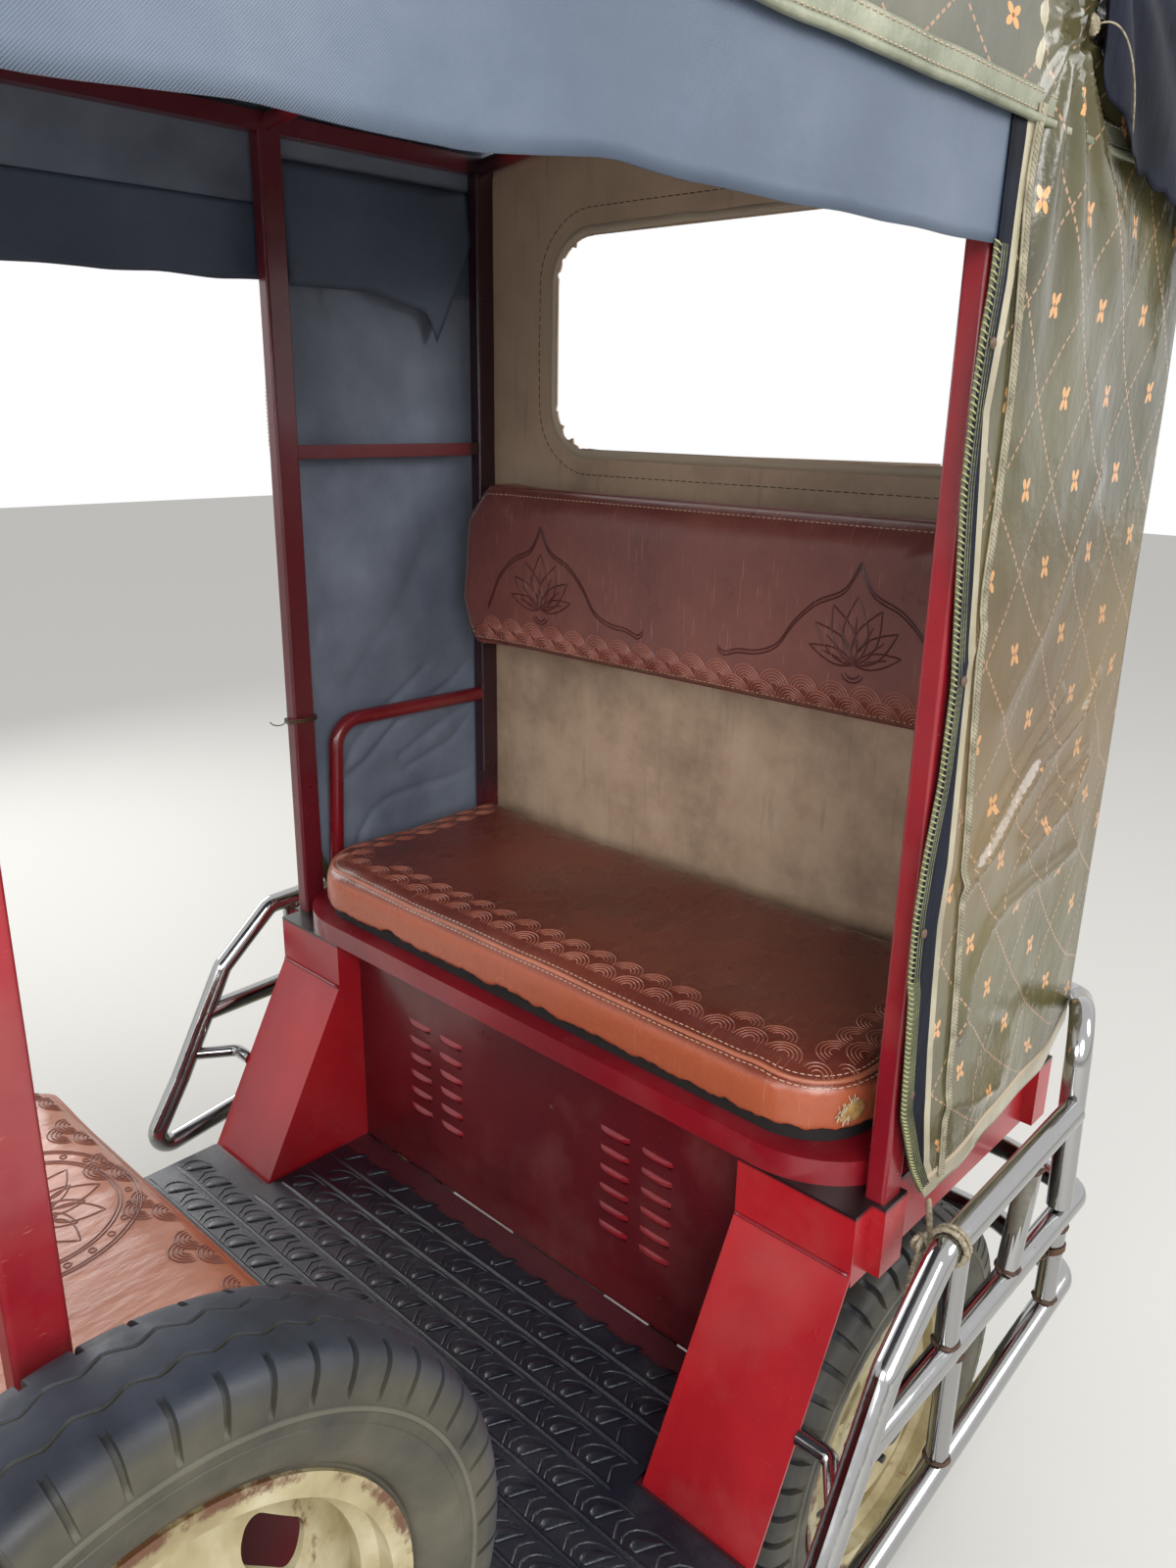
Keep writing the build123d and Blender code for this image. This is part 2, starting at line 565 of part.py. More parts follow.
with BuildPart() as driver_cushion:
    block((-352, 35), (-308, 308), (SEAT["top"], 620))
    fillet(driver_cushion.edges().filter_by(Axis.Z), 40)
    fillet(driver_cushion.faces().sort_by(Axis.Z)[-1].edges(), 24)
    fillet(driver_cushion.faces().sort_by(Axis.Z)[0].edges(), 10)
keep(driver_cushion, "driver_cushion")

# Front: leg panel behind the wheel, open-backed cowl with the headlamp, windscreen in a tube frame.
COWL_LOW = 600
COWL_TOP = 1000
COWL_FRONT_X = 905
COWL_BACK_X = 600
COWL_HALF = 395
with BuildPart() as leg_panel:
    block((680, 683), (-390, 390), (FLOOR_TOP - 30, COWL_LOW - 30))
    block((683, 700), (-390, 390), (COWL_LOW - 33, COWL_LOW - 30))
keep(leg_panel, "leg_panel")

LAMP_Z = 790
LAMP_R = 78
# The recess round the fork's crown: radius, and its ends along the steering axis.
CROWN_SWEEP = (125, 330, 408)
COWL_SECTIONS = (
    (COWL_LOW, ((820, 395), (905, 230), (925, 0))),
    (COWL_TOP, ((800, 395), (860, 250), (872, 0))),
)
with BuildPart() as front_cowl:
    for inset, back, mode in ((0, COWL_BACK_X, Mode.ADD), (SHEET, COWL_BACK_X - 1, Mode.SUBTRACT)):
        for z, half in COWL_SECTIONS:
            front = [(x - inset, y - inset if y else 0) for x, y in half]
            outline = [(back, front[0][1])] + front + [(x, -y) for x, y in front[-2::-1]] + [(back, -front[0][1])]
            with BuildSketch(Plane.XY.offset(z)):
                with BuildLine():
                    Polyline(*outline, close=True)
                make_face()
        loft(ruled=True, mode=mode)
    for side in (-1, 1):
        side_plate(
            ((600, FLOOR_TOP), (600, COWL_LOW + 4), (760, COWL_LOW + 4), (683, FLOOR_TOP)),
            side * COWL_HALF, side * (COWL_HALF - SHEET),
        )
    block((830, 860), (-390, 390), (COWL_TOP - SHEET, COWL_TOP))
    with BuildSketch(Plane(origin=(800, 0, LAMP_Z), x_dir=(0, 1, 0), z_dir=(1, 0, 0))):
        Circle(LAMP_R)
    extrude(amount=150, mode=Mode.SUBTRACT)
    with BuildSketch(STEER.offset(CROWN_SWEEP[1])):
        Circle(CROWN_SWEEP[0])
    extrude(amount=CROWN_SWEEP[2] - CROWN_SWEEP[1], mode=Mode.SUBTRACT)
keep(front_cowl, "front_cowl")

with BuildPart() as headlamp:
    with BuildSketch(Plane(origin=(0, 0, LAMP_Z), x_dir=(1, 0, 0), z_dir=(0, -1, 0))):
        with BuildLine():
            Polyline(
                (840, 0), (840, 40), (870, LAMP_R - 0.5), (912, LAMP_R - 0.5), (912, 90), (926, 90), (930, 84),
                (926, 80), (936, 56), (942, 26), (943, 0), close=True,
            )
        make_face()
    revolve(axis=Axis((0, 0, LAMP_Z), (1, 0, 0)))
keep(headlamp, "headlamp")

SCREEN = Plane(
    origin=(858, 0, COWL_TOP + 2.3),
    x_dir=(0, 1, 0),
    z_dir=(cos(radians(11.8)), 0, sin(radians(11.8))),
)
SCREEN_H = 700
with BuildPart() as windscreen_frame:
    with BuildSketch(SCREEN):
        with Locations((0, SCREEN_H / 2)):
            RectangleRounded(800, SCREEN_H, 50)
            RectangleRounded(756, SCREEN_H - 44, 34, mode=Mode.SUBTRACT)
    extrude(amount=11, both=True)
keep(windscreen_frame, "windscreen_frame")

with BuildPart() as windscreen_glass:
    with BuildSketch(SCREEN):
        with Locations((0, SCREEN_H / 2)):
            RectangleRounded(756, SCREEN_H - 44, 34)
    extrude(amount=2, both=True)
keep(windscreen_glass, "windscreen_glass")

with BuildPart() as brake_pedal:
    tube(((575, -150, FLOOR_TOP + 2.3), (560, -150, 340), (520, -150, 392)), 8, 20)
    block((490, 540), (-185, -115), (388, 398))
keep(brake_pedal, "brake_pedal")

with BuildPart() as tail_lamps:
    for side in (-1, 1):
        block((REAR_X - 28, REAR_X), (side * 330, side * 450), (575, 630))
keep(tail_lamps, "tail_lamps")

# Fork: two telescopic legs in a crown, steerer, stem and wide handlebar; mudguard fixed to the legs.
LEG_Y = 78
CROWN_LOW = 345
CROWN_TOP = 385
with BuildPart() as fork:
    for side in (-1, 1):
        with BuildSketch(STEER.offset(-28)):
            with Locations((FORK_OFFSET, side * LEG_Y)):
                Circle(19)
        extrude(amount=210)
        with BuildSketch(STEER.offset(180)):
            with Locations((FORK_OFFSET, side * LEG_Y)):
                Circle(14)
        extrude(amount=CROWN_TOP + 12 - 180)
    with BuildSketch(STEER.offset(CROWN_LOW)):
        with Locations((FORK_OFFSET / 2, 0)):
            RectangleRounded(78, 2 * LEG_Y + 40, 18)
    extrude(amount=CROWN_TOP - CROWN_LOW)
    with BuildSketch(STEER.offset(CROWN_LOW)):
        Circle(STEERER_R)
    extrude(amount=735 - CROWN_LOW)
    with BuildSketch(Plane(origin=(FRONT_AXLE_X, -LEG_Y, WHEEL_R), x_dir=(1, 0, 0), z_dir=(0, 1, 0))):
        Circle(12)
    extrude(amount=2 * LEG_Y)
keep(fork, "fork")

STEM_Z = 720
BAR_HALF = 310
bar_centre = STEER.from_local_coords((0, 0, STEM_Z))
with BuildPart() as handlebar:
    c = bar_centre
    tube(
        (
            (c.X - 120, -BAR_HALF, c.Z + 62), (c.X - 60, -200, c.Z + 62), (c.X, -90, c.Z), (c.X, 90, c.Z),
            (c.X - 60, 200, c.Z + 62), (c.X - 120, BAR_HALF, c.Z + 62),
        ),
        11, 40,
    )
    with BuildSketch(STEER.offset(STEM_Z - 24)):
        with Locations((0, 0)):
            RectangleRounded(52, 60, 12)
    extrude(amount=48)
    with BuildSketch(STEER.offset(STEM_Z - 30)):
        Circle(STEERER_R)
    extrude(amount=45, mode=Mode.SUBTRACT)
keep(handlebar, "handlebar")

with BuildPart() as grips:
    for side in (-1, 1):
        a = Vector(c.X - 60, side * 200, c.Z + 62)
        b = Vector(c.X - 120, side * BAR_HALF, c.Z + 62)
        along = (b - a).normalized()
        with BuildSketch(Plane(origin=b + along * 4, z_dir=-along)):
            Circle(17)
        extrude(amount=106)
        with BuildSketch(Plane(origin=b, z_dir=-along)):
            Circle(11)
        extrude(amount=106, mode=Mode.SUBTRACT)
keep(grips, "grips")

MUDGUARD_HALF = 53
MUDGUARD_R = (262, 277, 285)
MUDGUARD_LOW = 8
MUDGUARD_ARC = 150
TAB_Z = (266, 282)
low, shoulder, crown = MUDGUARD_R
with BuildPart() as front_mudguard:
    with BuildSketch(Plane(
        origin=front_hub, x_dir=(0, 1, 0), z_dir=(-sin(radians(MUDGUARD_LOW)), 0, cos(radians(MUDGUARD_LOW))),
    )):
        with BuildLine():
            Polyline(
                (-MUDGUARD_HALF, low), (-MUDGUARD_HALF, shoulder), (-34, crown), (34, crown), (MUDGUARD_HALF, shoulder),
                (MUDGUARD_HALF, low), (MUDGUARD_HALF - 2, low), (MUDGUARD_HALF - 2, shoulder - 1), (33, crown - 2),
                (-33, crown - 2), (-MUDGUARD_HALF + 2, shoulder - 1), (-MUDGUARD_HALF + 2, low), close=True,
            )
        make_face()
    revolve(axis=axle_line(front_hub), revolution_arc=MUDGUARD_ARC)
    for side in (-1, 1):
        with BuildSketch(STEER.offset(TAB_Z[0])) as tab:
            with Locations((FORK_OFFSET, side * (MUDGUARD_HALF - 1 + LEG_Y - 14) / 2)):
                Rectangle(16, LEG_Y - 14 - MUDGUARD_HALF + 1)
        extrude(tab.sketch, amount=TAB_Z[1] - TAB_Z[0])
keep(front_mudguard, "front_mudguard")
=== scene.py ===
import math
import random
import bpy
import bmesh
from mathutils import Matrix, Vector, noise
from mathutils.bvhtree import BVHTree


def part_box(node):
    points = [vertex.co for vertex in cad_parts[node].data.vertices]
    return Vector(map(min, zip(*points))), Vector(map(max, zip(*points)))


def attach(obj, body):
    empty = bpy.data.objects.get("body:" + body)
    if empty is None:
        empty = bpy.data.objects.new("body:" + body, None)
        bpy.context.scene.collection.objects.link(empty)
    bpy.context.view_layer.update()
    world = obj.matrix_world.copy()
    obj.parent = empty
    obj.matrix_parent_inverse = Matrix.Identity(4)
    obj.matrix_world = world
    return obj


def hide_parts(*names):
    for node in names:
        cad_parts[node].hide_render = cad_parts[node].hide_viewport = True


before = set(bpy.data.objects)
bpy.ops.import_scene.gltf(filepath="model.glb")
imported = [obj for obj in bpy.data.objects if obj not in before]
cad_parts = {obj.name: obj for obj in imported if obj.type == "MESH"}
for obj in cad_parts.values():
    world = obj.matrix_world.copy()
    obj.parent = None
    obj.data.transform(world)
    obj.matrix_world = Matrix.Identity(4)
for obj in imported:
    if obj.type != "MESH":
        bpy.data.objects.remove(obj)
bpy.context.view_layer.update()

# Camera: solved from the photograph. It stands outside on the vehicle's left, beside the driver's seat,
# and looks down into the rear cabin.
camera_data = bpy.data.cameras.new("camera")
camera_data.lens = 26.76
camera_data.sensor_width = 36.0
camera_data.clip_start = 0.02
camera = bpy.data.objects.new("camera", camera_data)
camera.location = (0.0881, 0.9293, 1.3438)
camera.rotation_euler = [math.radians(a) for a in (72.098, -0.895, 133.138)]
bpy.context.collection.objects.link(camera)
bpy.context.scene.camera = camera

# Studio: a pale plain floor under the tyres, a white surround and wide soft lamps, the largest on the
# open left side where the photograph's daylight comes from.
SURROUND_LIGHT, SURROUND_SEEN = 0.75, 1.0
bpy.context.scene.view_settings.view_transform = "Standard"
world = bpy.data.worlds.new("studio")
bpy.context.scene.world = world
world.use_nodes = True
surround = world.node_tree.nodes["Background"]
surround.inputs["Color"].default_value = (1.0, 1.0, 1.0, 1.0)


def node(mat, kind, inputs=None, **settings):
    """Adds a shader node: settings are its properties, inputs are values or sockets to link."""
    made = mat.node_tree.nodes.new(kind)
    for key, value in settings.items():
        setattr(made, key, value)
    for key, value in (inputs or {}).items():
        if isinstance(value, bpy.types.NodeSocket):
            mat.node_tree.links.new(value, made.inputs[key])
        else:
            made.inputs[key].default_value = value
    return made


def calc(mat, operation, first, second=0.0):
    """One math operation on values or sockets."""
    return node(mat, "ShaderNodeMath", {0: first, 1: second}, operation=operation).outputs[0]


rays = node(world, "ShaderNodeLightPath")
seen = rays.outputs["Is Camera Ray"]
for other in ("Is Transmission Ray", "Is Glossy Ray"):
    seen = calc(world, "MAXIMUM", seen, rays.outputs[other])
strength = node(world, "ShaderNodeMapRange", {"Value": seen, "To Min": SURROUND_LIGHT, "To Max": SURROUND_SEEN})
world.node_tree.links.new(strength.outputs[0], surround.inputs["Strength"])


def new_material(name, color, rough, metallic=0.0, **more):
    """A Principled material. More names its other settings: coat_weight is Coat Weight."""
    mat = bpy.data.materials.new(name)
    mat.use_nodes = True
    shader = mat.node_tree.nodes["Principled BSDF"]
    shader.inputs["Base Color"].default_value = (*color, 1.0)
    shader.inputs["Roughness"].default_value = rough
    shader.inputs["Metallic"].default_value = metallic
    for key, value in more.items():
        words = {"specular": "Specular IOR Level", "ior": "IOR"}.get(key, key.replace("_", " ").title())
        shader.inputs[words].default_value = value
    return mat


def feed(mat, word, socket):
    """Links a node's output to the material's shader."""
    mat.node_tree.links.new(socket, mat.node_tree.nodes["Principled BSDF"].inputs[word])


def position(mat, scale=(1.0, 1.0, 1.0), turn=(0.0, 0.0, 0.0), source="Object"):
    """Object coordinates, or the cloth's own, stretched and turned."""
    coord = node(mat, "ShaderNodeTexCoord").outputs[source]
    return node(mat, "ShaderNodeMapping", {"Vector": coord, "Scale": scale, "Rotation": turn}).outputs[0]


def speckle(mat, scale, detail=4.0, rough=0.6, where=None):
    """Noise in the range 0 to 1, on Object coordinates unless told where."""
    inputs = {"Vector": where or position(mat), "Scale": scale, "Detail": detail, "Roughness": rough}
    return node(mat, "ShaderNodeTexNoise", inputs).outputs["Fac"]


def bump(mat, height, strength, distance=0.001):
    """Feeds a height into the shader's normal."""
    made = node(mat, "ShaderNodeBump", {"Height": height, "Strength": strength, "Distance": distance})
    feed(mat, "Normal", made.outputs[0])


studio_floor = new_material("studio_floor", (0.62, 0.61, 0.58), 0.85)
bump(studio_floor, speckle(studio_floor, 40.0), 0.05)
bpy.ops.object.select_all(action="DESELECT")
bpy.ops.mesh.primitive_plane_add(size=30.0)
ground = bpy.context.object
ground.name = "studio_ground"
ground.data.materials.append(studio_floor)

# Lamps: name, place, point looked at, size, power.
for name, place, target, size, power in (
    ("key", (1.6, 3.2, 2.6), (-0.9, 0.0, 0.7), 2.4, 130.0),
    ("front", (3.4, 0.6, 2.2), (-0.9, 0.0, 0.8), 2.0, 60.0),
    ("rear", (-2.8, 3.6, 3.2), (-1.0, 0.3, 0.8), 2.2, 70.0),
    ("far", (-0.8, -3.4, 2.2), (-0.9, 0.0, 0.9), 2.4, 60.0),
):
    lamp = bpy.data.lights.new(name, "AREA")
    lamp.shape = "DISK"
    lamp.size = size
    lamp.energy = power
    holder = bpy.data.objects.new(name, lamp)
    holder.location = place
    holder.rotation_euler = (Vector(target) - Vector(place)).to_track_quat("-Z", "Y").to_euler()
    bpy.context.collection.objects.link(holder)

# Body sheet and posts: deep red gloss paint over steel, sprayed unevenly by hand, with chips to the grey primer,
# fine scratches and a film of dust. Inside the arches the bare sheet is black.


def tint(red, green, blue):
    """A colour as read from the photograph, 0 to 255, made linear."""
    return tuple(((c / 255 + 0.055) / 1.055) ** 2.4 if c > 10 else c / 255 / 12.92 for c in (red, green, blue))


def ramp(mat, factor, *stops):
    """A colour ramp through (place, colour) stops; a plain number stands for a grey."""
    made = node(mat, "ShaderNodeValToRGB", {"Fac": factor})
    elements = made.color_ramp.elements
    while len(elements) < len(stops):
        elements.new(0.5)
    for element, (place, color) in zip(elements, stops):
        element.position = place
        element.color = (color, color, color, 1.0) if isinstance(color, (int, float)) else (*color, 1.0)
    return made.outputs["Color"]


def blend_color(mat, factor, first, second):
    """Mixes two colours by a factor."""
    colors = [c if isinstance(c, bpy.types.NodeSocket) else (*c, 1.0) for c in (first, second)]
    return node(mat, "ShaderNodeMix", {0: factor, 6: colors[0], 7: colors[1]}, data_type="RGBA").outputs[2]


def patches(mat, scale, detail, *stops, rough=0.6, where=None):
    """A ramp on speckle: blotches of colour, gloss or dirt."""
    return ramp(mat, speckle(mat, scale, detail, rough, where), *stops)


def place_along(mat, axis):
    """One of the object's own coordinates, in metres."""
    coord = node(mat, "ShaderNodeTexCoord").outputs["Object"]
    return node(mat, "ShaderNodeSeparateXYZ", {"Vector": coord}).outputs[axis]


def edge_at(mat, axis, shift, *stops):
    """A ramp over one coordinate, shifted into the range 0 to 1."""
    return ramp(mat, calc(mat, "ADD", place_along(mat, axis), shift), *stops)


def dress(mat, *names):
    """Gives CAD nodes their finish."""
    for name in names:
        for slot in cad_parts[name].material_slots:
            slot.material = mat


RED = (tint(104, 14, 26), tint(146, 22, 34))


def sprayed_red(name, deep, bright, over=None):
    """Red gloss paint between a deep and a bright tone. Over lays another colour: a different paint, or painted shade.
    """
    mat = new_material(name, bright, 0.3, coat_weight=0.35, coat_roughness=0.14)
    color = patches(mat, 3.0, 4.0, (0.3, deep), (0.7, bright))
    brushed = position(mat, (6.0, 60.0, 60.0), (0.4, 0.3, 0.2))
    streaks = patches(mat, 9.0, 2.0, (0.69, 0.0), (0.74, 0.6), where=brushed)
    color = blend_color(mat, streaks, color, tint(188, 108, 104))
    color = blend_color(mat, patches(mat, 55.0, 6.0, (0.72, 0.0), (0.735, 1.0)), color, tint(96, 78, 74))
    color = blend_color(mat, patches(mat, 7.0, 8.0, (0.5, 0.0), (0.9, 0.28)), color, tint(158, 120, 112))
    feed(mat, "Base Color", over(mat, color) if over else color)
    feed(mat, "Roughness", patches(mat, 5.0, 6.0, (0.3, 0.24), (0.8, 0.46)))
    bump(mat, speckle(mat, 24.0, 3.0), 0.25, 0.002)
    return mat


def painted_shade_far_posts(mat, color):
    """Painted shade: the far posts are painted darker, and the rear one nearly black from its foot up."""
    behind = edge_at(mat, "X", 1.65, (0.498, 1.0), (0.502, 0.0))
    above = edge_at(mat, "Z", -0.20, (0.47, 0.0), (0.55, 1.0))
    away = edge_at(mat, "Y", 0.90, (0.45, 1.0), (0.48, 0.0))
    color = blend_color(mat, calc(mat, "MULTIPLY", away, 0.5), color, tint(60, 24, 36))
    return blend_color(mat, calc(mat, "MULTIPLY", calc(mat, "MULTIPLY", behind, above), away), color, tint(48, 20, 28))


def black_ceiling(mat, color):
    """Bare black sheet under the top of each arch."""
    return blend_color(mat, edge_at(mat, "Z", -0.11, (0.4975, 0.0), (0.4985, 1.0)), color, tint(24, 20, 22))


def black_floor(mat, color):
    """Black brushed on top of the tray, where it shows between the bench and the mat; its sills stay red."""
    return blend_color(mat, edge_at(mat, "Z", 0.2155, (0.4996, 0.0), (0.5002, 1.0)), color, tint(24, 28, 34))


red_paint = sprayed_red("red_paint", *RED)
dress(red_paint, "bench_shelf", "armrests", "driver_seat_base", "leg_panel", "front_cowl", "front_mudguard")
# The bench box has a darker copy of the red paint, as painted shade under the seat.
dress(sprayed_red("bench_red_painted_shade", tint(74, 12, 20), tint(106, 20, 28)), "bench_box")
# The far posts carry painted shade.
dress(sprayed_red("post_red", *RED, painted_shade_far_posts), "cabin_frame")
dress(sprayed_red("arch_red", tint(140, 18, 28), tint(186, 30, 38), black_ceiling), "wheel_arches")
dress(sprayed_red("floor_paint", *RED, black_floor), "floor_pan")

# Plated tubes: bright chrome over steel, dulled in patches and spotted with rust. The chrome covers the guards,
# the rear hoop and the fork's legs.
chrome = new_material("chrome", (0.72, 0.72, 0.70), 0.12, 1.0)
rust_spots = patches(chrome, 85.0, 6.0, (0.68, 0.0), (0.74, 1.0))
feed(chrome, "Base Color", blend_color(chrome, rust_spots, (0.40, 0.40, 0.40), (0.14, 0.09, 0.06)))
feed(chrome, "Roughness", patches(chrome, 22.0, 5.0, (0.35, 0.07), (0.8, 0.30)))
dress(chrome, "side_guards", "rear_bumper", "fork")

# Black steel: the chassis, springs, axle, motor, drums, pedal, handlebar and windscreen frame. They are welded,
# forged or pressed, brushed with chassis paint and dusty.


def grained(name, color, rough, grain, blotches=None, metallic=0.0, stretch=(1.0, 1.0, 1.0), **more):
    """A plain finish. Grain is its bump's scale, detail, strength and depth; blotches are its colour's scale,
    detail and stops."""
    mat = new_material(name, color, rough, metallic, **more)
    if blotches:
        feed(mat, "Base Color", patches(mat, *blotches))
    scale, detail, power, depth = grain
    bump(mat, speckle(mat, scale, detail, where=position(mat, stretch)), power, depth)
    return mat


black_steel = grained(
    "black_steel", (0.02, 0.02, 0.022), 0.55, (120.0, 4.0, 0.3, 0.001),
    (14.0, 8.0, (0.4, (0.018, 0.018, 0.02)), (0.75, (0.10, 0.07, 0.05))),
)
dress(
    black_steel, "chassis_frame", "leaf_springs", "rear_axle", "drive_motor", "handlebar", "brake_pedal",
    "windscreen_frame", "front_drum", "rear_drum_left", "rear_drum_right",
)

# Tyres: narrow cross-ply tyres of black rubber, blue-black on the crown and brown with dust on the walls. Each is
# moulded as one ring: two thin wavy grooves, notches over the shoulders and a raised ring on the wall.
rubber = new_material("tyre_rubber", (0.025, 0.026, 0.028), 0.62)
crown_color = patches(rubber, 9.0, 8.0, (0.35, tint(26, 30, 38)), (0.7, tint(58, 64, 76)))
wall_color = patches(rubber, 14.0, 8.0, (0.3, tint(40, 39, 34)), (0.75, tint(86, 81, 66)))
on_wall = node(rubber, "ShaderNodeAttribute", attribute_name="wall").outputs["Fac"]
in_groove = node(rubber, "ShaderNodeAttribute", attribute_name="dust").outputs["Fac"]
color = blend_color(rubber, on_wall, crown_color, wall_color)
feed(rubber, "Base Color", blend_color(rubber, in_groove, color, tint(112, 110, 94)))
feed(rubber, "Roughness", patches(rubber, 30.0, 6.0, (0.3, 0.42), (0.8, 0.75)))
bump(rubber, speckle(rubber, 260.0, 3.0), 0.25, 0.0006)
# Half profile of the tyre from bead to crown: distance from the wheel's mid-plane and radius.
TYRE_PROFILE = (
    (0.0340, 0.1570), (0.0345, 0.1710), (0.0405, 0.1760), (0.0462, 0.1860), (0.0486, 0.1960), (0.0494, 0.2035),
    (0.0488, 0.2042), (0.0488, 0.2108), (0.0500, 0.2116), (0.0500, 0.2142), (0.0490, 0.2150), (0.0488, 0.2168),
    (0.0484, 0.2190), (0.0477, 0.2240), (0.0466, 0.2300), (0.0450, 0.2355), (0.0435, 0.2388), (0.0412, 0.2418),
    (0.0375, 0.2446), (0.0330, 0.2463), (0.0300, 0.2470), (0.0290, 0.2473), (0.0220, 0.2486), (0.0163, 0.2493),
    (0.0156, 0.2493), (0.0134, 0.2495), (0.0127, 0.2495), (0.0060, 0.2499), (0.0, 0.2500),
)
PITCHES, WAVE = 50, 0.0030
# The groove's place, half width and depth, and the band of the crown that swings with all of its wave.
GROOVE_AT, GROOVE_HALF, GROOVE_DEPTH, GROOVE_BAND = 0.0145, 0.0015, 0.0042, (0.0125, 0.0165)
SHOULDER_RADIUS, WALL_RING = 0.2165, (0.2110, 0.2145)


def as_object(form, name, *mats):
    """Turns a shape built in code into a smooth object."""
    mesh = bpy.data.meshes.new(name)
    form.to_mesh(mesh)
    form.free()
    piece = bpy.data.objects.new(name, mesh)
    bpy.context.collection.objects.link(piece)
    for mat in mats:
        mesh.materials.append(mat)
    for face in mesh.polygons:
        face.use_smooth = True
    return piece


def fasten(piece, body="chassis"):
    """Fixes a finished piece to its body."""
    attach(piece, body)
    return piece


def finish_piece(form, name, mat, body="chassis"):
    """A closed shape built in code, turned outwards and made a piece."""
    bmesh.ops.recalc_face_normals(form, faces=form.faces)
    return fasten(as_object(form, name, mat), body)


def skin(form, rings):
    """Closes each ring of points to the next one."""
    for a, b in zip(rings, rings[1:]):
        for j in range(len(a)):
            k = (j + 1) % len(a)
            form.faces.new((a[j], a[k], b[k], b[j]))


def take(*pieces):
    """Selects these pieces alone, the first one active."""
    bpy.ops.object.select_all(action="DESELECT")
    for piece in pieces:
        piece.select_set(True)
    bpy.context.view_layer.objects.active = pieces[0]


def middle_of(node_name):
    """The middle of a CAD node's box."""
    return [(a + b) / 2 for a, b in zip(*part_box(node_name))]


def mould_tyre(name, node_name, body, notch, inner_end, notch_depth, dusted):
    """One tyre. The notch is its share of a pitch from start to end; it begins inner_end from the mid-plane."""
    centre = middle_of(node_name)
    rows = list(TYRE_PROFILE) + [(-y, r) for y, r in TYRE_PROFILE[-2::-1]]
    normals = []
    for i, (y, r) in enumerate(rows):
        before, after = rows[max(0, i - 1)], rows[min(len(rows) - 1, i + 1)]
        along = Vector((after[0] - before[0], after[1] - before[1])).normalized()
        outward = along.y * y - along.x * (r - 0.2) > 0
        normals.append((along.y, -along.x) if outward else (-along.y, along.x))
    start, end = notch
    bevel, land = 0.014, 1 - end
    shares = (
        0.0, start * 0.35, start * 0.7, start, start + bevel, end - bevel, end,
        end + land * 0.25, end + land * 0.5, end + land * 0.75,
    )
    form = bmesh.new()
    rings, wall, dust = [], [], []
    for pitch in range(PITCHES):
        for k, share in enumerate(shares):
            turn = [2.0 * math.pi * (pitch + share + later) / PITCHES for later in (0.0, 0.5)]
            swing = math.asin(math.sin(2 * math.pi * share) * 0.97) / 1.3 * WAVE
            ring = []
            for (y, r), (ny, nr) in zip(rows, normals):
                across = abs(y)
                turned = turn[0] if y >= 0 else turn[1]
                near = max(0.0, 1.0 - abs(across - GROOVE_AT) / GROOVE_AT) if across < 2 * GROOVE_AT else 0.0
                held = 1.0 if GROOVE_BAND[0] < across < GROOVE_BAND[1] else near
                shift = swing * held * (1 if y >= 0 else -1)
                depth, dusty = 0.0, 0.0
                if GROOVE_AT - GROOVE_HALF < across < GROOVE_AT + GROOVE_HALF:
                    depth, dusty = GROOVE_DEPTH, 0.75
                if across > inner_end and r > SHOULDER_RADIUS + 0.0005 and k in (4, 5):
                    depth = notch_depth * min(1.0, (r - SHOULDER_RADIUS) / 0.006)
                    dusty = 0.15 * (1.0 - dusted)
                if WALL_RING[0] < r < WALL_RING[1]:
                    dusty = 0.35
                out = r - nr * depth
                ring.append(form.verts.new((
                    centre[0] + out * math.sin(turned), centre[1] + y + shift - ny * depth,
                    centre[2] + out * math.cos(turned),
                )))
                wall.append(min(1.0, max(dusted if depth < 0.003 else 0.0, (0.2440 - r) / 0.016)))
                dust.append(dusty)
            rings.append(ring)
    skin(form, rings + rings[:1])
    tyre = finish_piece(form, name, rubber, body)
    for word, values in (("wall", wall), ("dust", dust)):
        tyre.data.attributes.new(word, "FLOAT", "POINT").data.foreach_set("value", values)
    take(tyre)
    bpy.ops.object.shade_smooth_by_angle(angle=math.radians(32))
    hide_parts(node_name)


mould_tyre("spare_tread", "spare_tyre", "chassis", (0.41, 0.57), 0.0295, 0.0042, 0.0)
for name, node_name, body in (
    ("front_tread", "front_tyre", "front_wheel"),
    ("left_tread", "rear_tyre_left", "rear_left_wheel"),
    ("right_tread", "rear_tyre_right", "rear_right_wheel"),
):
    mould_tyre(name, node_name, body, (0.36, 0.62), 0.0285, 0.0075, 0.7)

